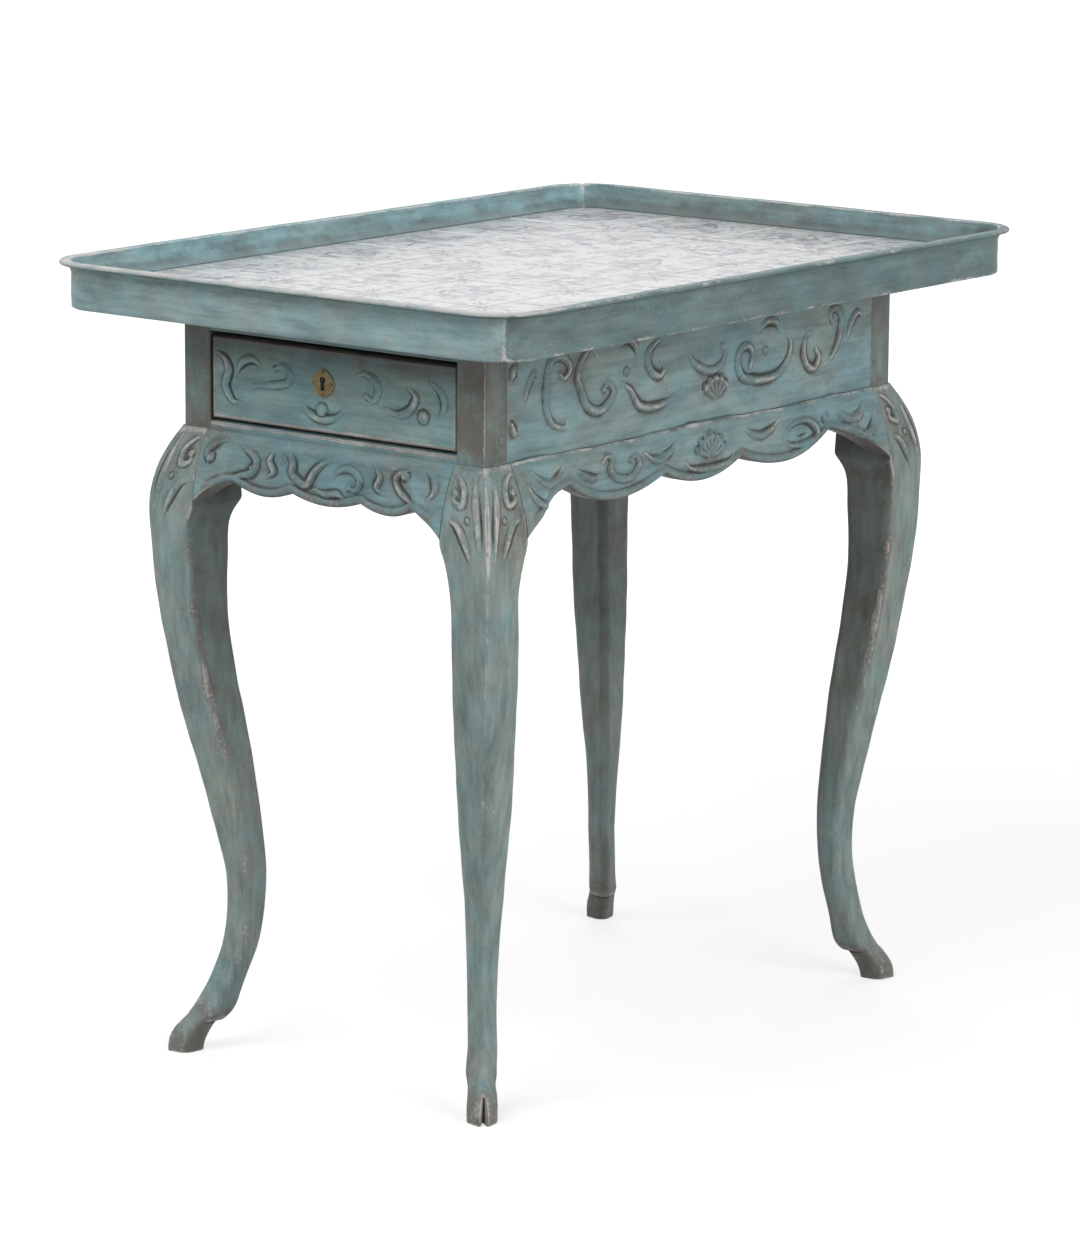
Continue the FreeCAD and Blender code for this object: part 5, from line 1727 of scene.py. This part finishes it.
@dataclass
class ApronRail:
    """Rail with its frieze, wavy ledge and scalloped apron, carved on the outer face."""

    node: str
    facing: Facing
    finish: Finish
    plane: float
    span: float
    top: float
    breaks: tuple[float, ...]
    ornament: tuple[Carving, ...]
    seed: float
    ledge_wave: float = 1.6
    ledge_wear: float = 0.5
    ledge_fill: float = 0.3
    ledge_band: float = 3.5
    column_step: float = 1.25
    apron_rows: int = 54
    frieze_step: float = 1.35
    probe_start: float = 90.0
    probe_foot: float = 400.0
    probe_out: float = 4.0
    end_spare: float = 0.03
    uneven: float = 0.3
    foot_round: float = 1.3
    foot_reach: float = 1.6
    lip_round: float = 0.9
    lip_reach: float = 0.8
    wave_reach: float = 9.0
    inner_shares: tuple[float, ...] = (0.6, 0.25, 0.0)
    foot_shares: tuple[float, ...] = (0.4, 0.8)
    board_back: float = -16.0
    board_least: float = 3.0
    cut_from: float = 0.5
    cut_spread: tuple[int, int] = (15, 13)
    cut_dirt: float = 0.34
    end_thin: float = 0.30
    cut_thin: float = 0.9
    underside_shade: float = 0.9

    def __post_init__(self) -> None:
        """Set the rings, with one at each cusp of the lower edge, and measure that edge."""
        stops = sorted({-self.span, *(-b for b in self.breaks), *self.breaks, self.span})
        runs = [np.linspace(a, b, max(3, int((b - a) / self.column_step)), endpoint=False)
                for a, b in zip(stops[:-1], stops[1:])]
        self.along = np.concatenate(runs + [[self.span]])
        self.near = np.clip(self.along, self.end_spare - self.span, self.span - self.end_spare)
        self.skin = CadSkin(self.node)
        starts = self.facing.place(self.plane, self.near, self.probe_out, self.probe_foot)
        self.low = self.probe_foot + self.skin.probe(starts, np.array([0.0, 0.0, 1.0])) / MM

    def depths(self, height: Array, inside: bool = False) -> Array:
        """Measure how far the node's face stands out from the rail's plane.

        Args:
            height: Heights, by ring and row.
            inside: Whether to measure the inner face.

        Returns:
            Distances out from the plane, by ring and row.
        """
        way = 1 if inside else -1
        start = -way * self.probe_start
        starts = self.facing.place(self.plane, self.near[:, None], start, height).reshape(-1, 3)
        found = self.skin.probe(starts, way * np.array([*self.facing.value, 0.0])) / MM
        return (start + way * found).reshape(height.shape)

    def outer_face(self) -> tuple[Array, Array, Array]:
        """Carve the outer face, from the scalloped edge up over the ledge to the top.

        Returns:
            Heights, distances out from the plane and the carving's rise, by ring and row.
        """
        ledge, low = SIZES.ledge, self.low[:, None]
        apron = low + np.linspace(0, 1, self.apron_rows) * (ledge - low)
        rows = max(4, int((self.top - ledge) / self.frieze_step))
        frieze = np.broadcast_to(np.linspace(ledge, self.top, rows), (len(low), rows))
        swell = self.depths(np.clip(apron, low + 0.06, ledge - 0.06))
        height = np.concatenate([apron, frieze], 1)
        out = np.concatenate([swell, np.zeros_like(frieze)], 1)
        run = np.broadcast_to(self.along[:, None], height.shape)
        edge = EdgeBead(tuple(zip(self.along[::3], self.low[::3])))
        face = np.stack([run.ravel(), height.ravel()], -1)
        rise = carve(face, [*self.ornament, edge]).reshape(height.shape)
        rise += self.uneven * ripple(run, height * 1.6, self.seed)
        to_end = self.span - np.abs(run)
        out += rise * ease(to_end, 0, 5) * ease(self.top - height, 0, 3)
        out -= self.foot_round * (1 - np.clip((height - low) / self.foot_reach, 0, 1)) ** 2
        out[:, :self.apron_rows] -= self.lip_round * hump(apron, ledge, self.lip_reach)
        wave = self.ledge_wave * ripple(run * 0.55, run * 0.3, self.seed + 4) * ease(to_end, 0, 40)
        return height + wave * hump(height, ledge, self.wave_reach), out, rise

    def inner_face(self, foot: Array) -> tuple[Array, Array]:
        """Measure the plain inner face, from the top down and under the foot to the outer face.

        Args:
            foot: Distances out of the outer face's lowest row.

        Returns:
            Heights and distances out from the plane, by ring and row.
        """
        ledge, low = SIZES.ledge, self.low[:, None]
        upper = np.full((len(low), 3), (self.top, (self.top + ledge) / 2, ledge))
        height = np.concatenate([upper, low + (ledge - low) * self.inner_shares], 1)
        probed = np.clip(height, low + 0.1, self.top - 0.1)
        probed[:, 2] = ledge + 0.2
        out = self.depths(probed, inside=True)
        out = np.where(out > self.board_back, np.minimum(out, foot - self.board_least), out)
        under = out[:, -1:] + (foot - out[:, -1:]) * self.foot_shares
        return np.concatenate([height, low, low], 1), np.concatenate([out, under], 1)

    def mark_age(self, mesh: Mesh) -> None:
        """Store the wear of the rail: a rubbed ledge, thin ends and painted shade on the underside.

        Args:
            mesh: Mesh of the rail, which already holds the dirt round its carving.
        """
        points = mesh_points(mesh)
        to_end = self.span - np.abs(points[:, 0 if self.facing.across else 1])
        level = points[:, 2] - SIZES.ledge
        end = ease(to_end, 0.2, 2.5)
        keep = end * (1 - ease(points[:, 2], self.top - 2, self.top))
        keep *= 1 - self.ledge_fill * hump(level, 0, self.ledge_band)
        mark_relief(mesh, extra=self.ledge_wear * hump(level, -0.5, 2.2) * end, keep=keep)
        dirt = stored(mesh, "grime")
        store(mesh, "thin", self.end_thin * (1 - ease(to_end, 0, 42)) + self.cut_thin * dirt)
        # Painted shade on the faces that look down, kept with the dirt round the carving.
        underside = self.underside_shade * ease(-mesh_normals(mesh)[:, 2], 0.35, 0.8)
        store(mesh, "grime", np.maximum(dirt, underside))

    def build(self) -> None:
        """Build and dress the rail, with dirt spread round its carving."""
        outer_height, outer_out, rise = self.outer_face()
        inner_height, inner_out = self.inner_face(outer_out[:, :1])
        height = np.concatenate([outer_height, inner_height], 1)
        out = np.concatenate([outer_out, inner_out], 1)
        points = self.facing.place(self.plane, self.along[:, None], out, height)
        cut = np.zeros(height.shape)
        cut[:, :rise.shape[1]] = rise > self.cut_from
        for axis, width in enumerate(self.cut_spread):
            cut = np.apply_along_axis(np.convolve, axis, cut, np.full(width, 1 / width), mode="same")
        obj = rolled_mesh("carved_" + self.node, points, self.cut_dirt * ease(cut, 0.02, 0.35))
        self.mark_age(obj.data)
        settle(obj, self.finish, "table", [self.node])


SIDE_FRIEZE: tuple[Carving, ...] = (
    Ridge(((-199, 642), (-203, 635), (-220, 640), (-229, 653), (-231, 674), (-225, 697), (-212, 702),
           (-200, 697), (-196, 688), (-203, 681), (-211, 685)), 3.4, 2.8, 0.9, 0.4, 0.5, 3.0),
    Ridge(((-156, 696), (-163, 704), (-175, 698), (-184, 681), (-179, 667), (-169, 650), (-151, 644),
           (-135, 652), (-131, 661), (-138, 668), (-145, 663)), 3.6, 3.0, 0.9, 0.4, 0.5, 2.8),
    Ridge(((-54, 701), (-64, 698), (-75, 691), (-77, 681), (-70, 670), (-59, 666), (-52, 672),
           (-57, 679)), 3.0, 2.4),
    Ridge(((-122, 668), (-104, 658), (-91, 642), (-72, 637), (-50, 639),
           (-32, 645)), 3.0, 2.2, 0.7, 0.3, 0.3),
    Ridge(((-15, 686), (-10, 676), (0, 668), (20, 661), (38, 665), (44, 676),
           (38, 683)), 3.2, 2.5, 0.8, 0.3, 0.4, 2.6),
    Ridge(((85, 657), (89, 668), (83, 677), (71, 676), (65, 664), (71, 650), (84, 645), (106, 642),
           (130, 645), (146, 657), (151, 673), (145, 682)), 3.2, 2.6, 0.9, 0.5, 0.35),
    Ridge(((193, 662), (198, 653), (190, 643), (178, 648), (172, 661), (176, 675),
           (188, 681)), 3.0, 2.5, 0.8, 0.5, 0.3),
    Ridge(((203, 643), (221, 653), (232, 670), (235, 690), (226, 699), (217, 694),
           (220, 686)), 3.2, 2.6, 0.8, 0.3, 0.5, 2.6),
    Ridge(((246, 664), (252, 680), (262, 690), (272, 686)), 2.6, 2.0),
    Ridge(((-262, 664), (-256, 680), (-248, 690), (-240, 686)), 2.6, 1.8),
    Ridge(((-276, 700), (-279, 695), (-281, 686)), 3.4, 2.4, 1.2, 0.6, 0.2),
    Ridge(((-280, 647), (-278, 641), (-274, 634)), 3.2, 2.2, 1.2, 0.6, 0.2),
    Shell((29, 632), 24, 90, 120, 5, 2.4),
    Ridge(((-120, 700), (-108, 706), (-96, 698), (-92, 686)), 2.6, 1.9),
    Ridge(((100, 690), (112, 698), (126, 696), (132, 687)), 2.6, 1.9),
    Boss((-110, 676), 3.4, 1.8),
    Boss((110, 670), 3.4, 1.8),
)
SIDE_APRON: tuple[Carving, ...] = (
    Ridge(((-157, 597), (-150, 603), (-142, 598), (-145, 589), (-133, 579), (-114, 578), (-102, 588),
           (-106, 597), (-114, 594)), 3.2, 2.6, 0.9, 0.6, 0.5, 2.8),
    Ridge(((-196, 596), (-184, 588), (-172, 584), (-160, 586)), 2.8, 2.0),
    Ridge(((-92, 598), (-80, 590), (-66, 588), (-52, 594), (-42, 603)), 2.8, 2.0),
    Shell((11, 579), 25, 90, 150, 7, 3.0),
    Ridge(((-28, 580), (-20, 573), (-4, 570), (12, 569), (28, 570), (42, 573), (50, 580)), 2.6, 2.0),
    Ridge(((129, 583), (143, 594), (166, 596), (183, 587), (184, 577), (162, 572), (138, 575),
           (130, 583)), 2.8, 2.3),
    Ridge(((150, 583), (158, 586), (168, 584)), 2.4, 1.7),
    Boss((199, 594), 4.4, 2.6),
    Boss((197, 582), 3.2, 2.2),
    Ridge(((64, 602), (76, 594), (92, 590), (108, 594), (120, 602)), 2.8, 2.0),
    Ridge(((-262, 602), (-250, 592), (-236, 588), (-222, 594), (-214, 603)), 3.0, 2.0),
    Ridge(((-274, 592), (-266, 578), (-252, 570), (-240, 570)), 2.8, 1.9),
    Ridge(((262, 602), (250, 592), (236, 588), (224, 594), (214, 603)), 3.0, 2.0),
    Ridge(((274, 592), (266, 578), (252, 570), (240, 570)), 2.8, 1.9),
)
END_APRON: tuple[Carving, ...] = (
    Ridge(((-52, 590), (-46, 601), (-40, 594), (-40, 582), (-24, 574), (-13, 588), (0, 598),
           (14, 602)), 3.2, 2.7),
    Ridge(((8, 583), (18, 592), (30, 595), (42, 588), (38, 577), (29, 577)), 3.2, 2.7, 0.9, 0.35, 0.5, 2.6),
    Ridge(((-14, 572), (0, 568), (14, 570), (24, 566)), 2.6, 1.9),
    Ridge(((103, 603), (94, 600), (86, 592), (92, 581), (106, 575), (118, 570)), 3.0, 2.5, 0.9, 0.4, 0.3),
    Boss((98, 597), 4.4, 2.8),
    Ridge(((60, 602), (66, 592), (62, 582), (70, 576)), 2.6, 2.0),
    Ridge(((122, 604), (132, 598), (136, 588), (130, 580)), 2.8, 2.0),
    Ridge(((-103, 603), (-94, 600), (-84, 590), (-90, 578), (-104, 574),
           (-116, 570)), 3.0, 2.5, 0.9, 0.4, 0.3),
    Boss((-89, 583), 3.0, 2.3),
    Boss((-137, 589), 4.6, 2.8),
    Ridge(((-62, 602), (-68, 592), (-64, 582), (-72, 576)), 2.6, 2.0),
    Ridge(((-122, 606), (-134, 602), (-142, 594), (-138, 582)), 2.8, 2.0),
)
DRAWER_ORNAMENT: tuple[Ridge, ...] = (
    Ridge(((-141, 686), (-132, 681), (-128, 670), (-132, 656), (-124, 643), (-114, 641)), 3.0, 2.4, 1.1),
    Ridge(((-104, 654), (-90, 660), (-70, 662), (-54, 666), (-51, 675), (-60, 681),
           (-70, 677)), 3.0, 2.4, 1.1, 0.3, 0.5, 2.6),
    Ridge(((-118, 668), (-110, 680), (-98, 684), (-88, 678)), 2.8, 2.0, 0.9),
    Ridge(((28, 680), (40, 684), (52, 679), (56, 669), (50, 660), (42, 663)), 3.0, 2.5, 1.1, 0.3, 0.5, 2.6),
    Ridge(((64, 654), (80, 650), (94, 656), (100, 668), (92, 676)), 3.0, 2.1, 1.0),
    Ridge(((118, 684), (130, 676), (134, 664), (128, 652)), 2.8, 2.0, 0.9),
    Ridge(((-40, 652), (-32, 643), (-20, 637), (-8, 636), (4, 639), (14, 647)), 2.8, 2.0, 0.9),
)


@dataclass
class CarvedRails:
    """The four rails of the frame."""

    side_breaks: tuple[float, ...] = (206.0, 60.0)
    end_breaks: tuple[float, ...] = (108.0, 42.0)
    sill_top: float = 620.5
    back_shell: Shell = Shell((0, 652), 24, 90, 140, 7, 2.2)

    def build(self) -> None:
        """Build every rail with its own ornament."""
        s = SIZES
        side_span, end_span = s.half_length - s.post, s.half_width - s.post
        side = SIDE_FRIEZE + SIDE_APRON
        back = (*END_APRON, *mirrored(DRAWER_ORNAMENT), self.back_shell)
        for facing, seed in ((Facing.RIGHT, 1.0), (Facing.LEFT, 5.0)):
            ApronRail("side_rail_" + facing.name.lower(), facing, PAINT_LENGTH, s.half_width, side_span,
                      s.tray_bottom, self.side_breaks, side, seed).build()
        ApronRail("back_rail", Facing.BACK, PAINT_ACROSS, s.half_length, end_span,
                  s.tray_bottom, self.end_breaks, back, 2.0).build()
        ApronRail("front_apron_rail", Facing.FRONT, PAINT_ACROSS, s.half_length, end_span,
                  self.sill_top, self.end_breaks, END_APRON, 3.0, ledge_wave=0.6, ledge_wear=0.1,
                  ledge_fill=1.0, ledge_band=9.0).build()


@dataclass
class DrawerFront:
    """Carved drawer front with its keyhole plate; the lock boss is placed from the plate's middle."""

    inset: float = 0.15
    step: float = 1.15
    arris: float = 1.8
    uneven: float = 0.3
    edge_fade: Zone = (2, 8)
    pit: float = 8.0
    pit_half: Point = (3.2, 7.2)
    plate_seat: float = 17.0
    plate_gap: float = 0.02
    right_boss: Boss = Boss((109, 651), 5.5, 2.4)
    lock_boss: Boss = Boss((-3, 644), 6.0, 2.4)
    end_rub: float = 0.5
    top_shade: float = 0.7
    plate_points: int = 72
    plate_rows: int = 4
    plate_bulge: float = 2.4
    plate_edge: float = 1.1
    plate_lift: float = 0.7
    plate_dent: float = 0.05
    plate_arris: float = 0.2
    plate_sharp: float = math.radians(50)
    head_radius: float = 3.4
    head_rise: float = 3.25
    slot_half: float = 2.4
    slot_foot: float = 6.6

    def __post_init__(self) -> None:
        """Take the places of the board and the plate from their nodes."""
        self.low, self.high = (np.array(c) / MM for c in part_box("drawer_front"))
        self.plate_low, self.plate_high = (np.array(c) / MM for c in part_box("escutcheon"))
        self.lock_x, _, self.lock_z = (self.plate_low + self.plate_high) / 2
        self.top = self.high[2] - self.inset

    def carved_face(self, run: Array, up: Array) -> Array:
        """Carve the board's face, with eased edges, a flat seat for the plate and a pit for the key.

        Args:
            run: Places along the face.
            up: Heights, of the same shape.

        Returns:
            Rise of the face at each place.
        """
        run_off, height = self.lock_boss.points
        beside_lock = replace(self.lock_boss, points=(self.lock_x + run_off, height))
        forms = [*DRAWER_ORNAMENT, self.right_boss, beside_lock]
        rise = carve(np.stack([run.ravel(), up.ravel()], -1), forms).reshape(run.shape)
        rise += self.uneven * ripple(run, up * 1.5, 7.0)
        edge = np.minimum(self.high[0] - np.abs(run), np.minimum(up - self.low[2], self.top - up))
        rise = rise * ease(edge, *self.edge_fade)
        rise -= self.arris * (1 - np.clip(edge / self.arris, 0, 1)) ** 2
        across, above = run - self.lock_x, up - self.lock_z
        seat = np.hypot(across, above) < self.plate_seat
        rise = np.where(seat, np.minimum(rise, -self.plate_gap), rise)
        pit = (np.abs(across) < self.pit_half[0]) & (np.abs(above) < self.pit_half[1])
        return np.where(pit, -self.pit, rise)

    def board(self) -> None:
        """Build and dress the board."""
        half, bottom, top = self.high[0], self.low[2], self.top
        face, back = -self.low[1], -self.high[1] + self.inset
        along = np.linspace(-half + self.inset, half - self.inset, int(2 * half / self.step))
        height = np.linspace(bottom, top, int((top - bottom) / self.step))
        run, up = np.meshgrid(along, height, indexing="ij")
        rear = np.full((len(along), 3), (top, (top + bottom) / 2, bottom))
        out = np.concatenate([self.carved_face(run, up), np.full_like(rear, back - face)], 1)
        height = np.concatenate([up, rear], 1)
        obj = rolled_mesh("carved_drawer_front", Facing.FRONT.place(face, along[:, None], out, height))
        points = mesh_points(obj.data)
        mark_relief(obj.data, extra=self.end_rub * ease(points[:, 0], half - 3, half - 1))
        # Painted shade under the tray: the front darkens towards its top.
        store(obj.data, "grime", self.top_shade * ease(points[:, 2], self.lock_z + 2, top - 4))
        settle(obj, PAINT_DRAWER, "drawer", ["drawer_front"])

    def keyhole_reach(self, turn: Array) -> Array:
        """Reach of the keyhole's edge from the plate's middle: a round head over a straight slot.

        Args:
            turn: Angles round the middle.

        Returns:
            Distance of the edge at each angle.
        """
        rise, run = np.sin(turn), np.abs(np.cos(turn))
        climb = self.head_rise * rise
        head = climb + np.sqrt(climb**2 + self.head_radius**2 - self.head_rise**2)
        ends = np.where(rise < 0, self.slot_foot, self.head_rise)
        slot = np.minimum(self.slot_half / np.maximum(run, TINY), ends / np.maximum(np.abs(rise), TINY))
        return np.maximum(head, slot)

    def keyhole_plate(self) -> None:
        """Build and dress the brass plate round the keyhole, a diamond with bulging sides."""
        back = self.plate_high[1]
        reach = (self.plate_high[0] - self.plate_low[0]) / 2
        turn = np.linspace(0, 2 * math.pi, self.plate_points, endpoint=False)
        off_middle = 2 * np.abs(turn / (math.pi / 2) % 1 - 0.5)
        diamond = reach / (np.abs(np.cos(turn)) + np.abs(np.sin(turn)))
        outlines = (diamond + self.plate_bulge * (1 - off_middle**2), self.keyhole_reach(turn))
        bm = bmesh.new()
        for outline in outlines:
            made = bmesh.ops.create_circle(bm, cap_ends=False, segments=self.plate_points, radius=1.0)
            order = sorted(made["verts"], key=lambda v: math.atan2(v.co.y, v.co.x) % (2 * math.pi))
            for vert, angle, far in zip(order, turn.tolist(), outline.tolist()):
                x, z = self.lock_x + far * math.cos(angle), self.lock_z + far * math.sin(angle)
                vert.co = Vector((x, 0.0, z)) * MM
        bmesh.ops.bridge_loops(bm, edges=bm.edges)
        bmesh.ops.subdivide_edges(bm, edges=[e for e in bm.edges if not e.is_boundary], cuts=self.plate_rows)
        for vert in bm.verts:
            x, z = vert.co.x / MM - self.lock_x, vert.co.z / MM - self.lock_z
            swell = self.plate_lift * max(0.0, 1 - (math.hypot(x, z) / reach) ** 2)
            dent = self.plate_dent * math.sin(x * 2.1) * math.cos(z * 1.7)
            vert.co.y = (back - self.plate_edge - swell + dent) * MM
        add_walls(bm, 1, back * MM)
        bmesh.ops.bridge_loops(bm, edges=open_edges(bm))
        sharp = [e for e in bm.edges if e.calc_face_angle(0.0) > self.plate_sharp]
        bmesh.ops.bevel(bm, geom=sharp, offset=self.plate_arris * MM, segments=2, profile=0.5, material=-1,
                        affect="EDGES", clamp_overlap=True)
        fix_order(bm)
        obj = finished_object("brass_keyhole_plate", bm)
        mark_relief(obj.data, rounds=4, full=0.2)
        settle(obj, BRASS, "drawer", ["escutcheon"])

    def build(self) -> None:
        """Build the front and its plate."""
        self.board()
        self.keyhole_plate()


@dataclass
class InnerPieces:
    """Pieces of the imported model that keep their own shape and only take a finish."""

    finishes: dict[Finish, tuple[str, ...]] = field(default_factory=lambda: {
        PINE_LENGTH: ("tray_board_left", "tray_board_middle", "tray_board_right", "runner_left",
                      "runner_right", "kicker_left", "kicker_right"),
        PINE_ACROSS: ("drawer_stops",),
        PINE_UPRIGHT: ("tray_pegs",),
        PAINT_ACROSS: ("front_top_rail",),
        PAINT_PEGS: ("tenon_pegs",),
        DRAWER_LENGTH: ("drawer_side_left", "drawer_side_right", "drawer_bottom"),
        DRAWER_ACROSS: ("drawer_back",),
        IRON: ("lock_case", "lock_nails", "lock_bolt"),
        BRASS: ("escutcheon_pins",),
        MORTAR: ("mortar_bed",)})

    def build(self) -> None:
        """Dress every such piece."""
        for finish, nodes in self.finishes.items():
            for node in nodes:
                finish.dress(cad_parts[node])
                LOG.info("%s: dressed with %s", node, finish.name)


def direction(azimuth: float, elevation: float) -> Vector:
    """Direction from the table: degrees round it from the drawer end, and above the floor."""
    a, e = math.radians(azimuth), math.radians(elevation)
    return Vector((math.sin(a) * math.cos(e), -math.cos(a) * math.cos(e), math.sin(e)))


@dataclass(frozen=True)
class Lamp:
    """Soft square lamp that looks at the table; lengths in metres, power in watts."""

    name: str
    azimuth: float
    elevation: float
    far: float
    power: float
    size: float = 2.4
    aim: float = 0.45

    def build(self) -> None:
        """Hang the lamp."""
        way = direction(self.azimuth, self.elevation)
        data = bpy.data.lights.new(self.name, "AREA")
        data.size = self.size
        data.energy = self.power
        obj = bpy.data.objects.new(self.name, data)
        obj.location = way * self.far + Vector((0, 0, self.aim))
        obj.rotation_mode = "QUATERNION"
        obj.rotation_quaternion = way.to_track_quat("Z", "Y")
        obj.visible_camera = False
        bpy.context.scene.collection.objects.link(obj)


@dataclass
class Studio:
    """Camera, plain pale floor and soft light; lengths in metres."""

    azimuth: float = 38.44
    elevation: float = 11.80
    roll: float = 0.357
    place: tuple[float, float, float] = (3.00464, -3.79332, 1.40778)
    focal_px: float = 5048.06
    picture: tuple[int, int] = (1080, 1242)
    sensor: float = 36.0
    clip_end: float = 100.0
    ambient: float = 0.32
    floor_half: float = 40.0
    floor_cells: int = 8
    floor_dark: Colour = (0.43, 0.43, 0.43)
    floor_pale: Colour = (0.45, 0.45, 0.45)
    floor_rough: float = 0.9
    floor_glow: float = 0.66
    glow_reach: Zone = (1.0, 3.0)
    lamps: tuple[Lamp, ...] = (
        Lamp("key", -6.0, 46.0, 3.6, 70.0),
        Lamp("fill", 84.0, 22.0, 3.8, 68.0),
        Lamp("rear", 215.0, 55.0, 3.6, 30.0),
    )

    def camera(self) -> None:
        """Set up the camera at the viewing angle."""
        back = direction(self.azimuth, self.elevation)
        right = direction(self.azimuth + 90, 0.0)
        up = back.cross(right)
        r = math.radians(self.roll)
        turned = right * math.cos(r) + up * math.sin(r)
        upright = up * math.cos(r) - right * math.sin(r)
        data = bpy.data.cameras.new("camera")
        data.sensor_width = self.sensor
        data.lens = self.focal_px / max(self.picture) * self.sensor
        data.clip_end = self.clip_end
        obj = bpy.data.objects.new("camera", data)
        turn = Matrix((turned, upright, back)).transposed().to_4x4()
        obj.matrix_world = Matrix.Translation(self.place) @ turn
        bpy.context.scene.collection.objects.link(obj)
        bpy.context.scene.camera = obj

    @staticmethod
    def seen_directly(sheet: NodeSheet) -> Socket:
        """Find the rays that come from the camera, a mirror or glass.

        Args:
            sheet: Node sheet of the world or a material.

        Returns:
            One for such a ray, else zero.
        """
        path = sheet.add("LightPath").outputs
        seen = sheet.math("MAXIMUM", path["Is Camera Ray"], path["Is Glossy Ray"])
        return sheet.math("MAXIMUM", seen, path["Is Transmission Ray"])

    def surroundings(self) -> None:
        """Set up the even light all round and the white that is seen behind the table."""
        world = bpy.data.worlds.new("studio")
        bpy.context.scene.world = world
        world.use_nodes = True
        sheet = NodeSheet(world.node_tree)
        seen = self.seen_directly(sheet)
        strength = sheet.scaled(seen, 1 - self.ambient, self.ambient)
        background = world.node_tree.nodes["Background"]
        background.inputs["Color"].default_value = (1.0, 1.0, 1.0, 1.0)
        sheet.feed(background.inputs["Strength"], strength)

    def floor(self) -> None:
        """Lay the floor, which stays near white and keeps the table's shadow."""
        bm = bmesh.new()
        cells = self.floor_cells
        bmesh.ops.create_grid(bm, x_segments=cells, y_segments=cells, size=self.floor_half)
        obj = finished_object("floor", bm)
        material = bpy.data.materials.new("pale_floor")
        material.use_nodes = True
        nodes = material.node_tree.nodes
        sheet = NodeSheet(material.node_tree)
        surface = nodes["Principled BSDF"]
        seen = self.seen_directly(sheet)
        place = sheet.add("TexCoord").outputs["Object"]
        cloud = sheet.noise(place, 3.0, 2.0)
        sheet.feed(surface.inputs["Base Color"], sheet.mix(cloud, self.floor_dark, self.floor_pale))
        surface.inputs["Roughness"].default_value = self.floor_rough
        surface.inputs["Specular IOR Level"].default_value = 0.0
        far = sheet.add("VectorMath", {0: place}, operation="LENGTH").outputs["Value"]
        away = sheet.rise(far, *self.glow_reach)
        bright = sheet.scaled(away, 1 - self.floor_glow, self.floor_glow)
        glow = sheet.times(seen, bright)
        light = sheet.add("Emission", {"Color": (1.0, 1.0, 1.0), "Strength": glow})
        both = sheet.add("AddShader", {0: surface.outputs[0], 1: light.outputs[0]})
        sheet.feed(nodes["Material Output"].inputs["Surface"], both.outputs[0])
        obj.data.materials.append(material)

    def build(self) -> None:
        """Set up the whole studio."""
        self.camera()
        self.surroundings()
        self.floor()
        for lamp in self.lamps:
            lamp.build()
        bpy.context.scene.view_settings.view_transform = "Standard"


def corners(box: Iterable[Vector]) -> list[list[float]]:
    """Two corners as plain lists of numbers."""
    return [[float(c) for c in corner] for corner in box]


def main() -> None:
    """Build the table's looks and its studio, in order."""
    logging.basicConfig(level=logging.INFO, format="%(name)s: %(message)s")
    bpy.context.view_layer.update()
    Studio().build()
    for assembly in (TrayRim(), TileField(), CabrioleLeg(), CarvedRails(), DrawerFront(), InnerPieces()):
        assembly.build()


if __name__ == "__main__":
    main()
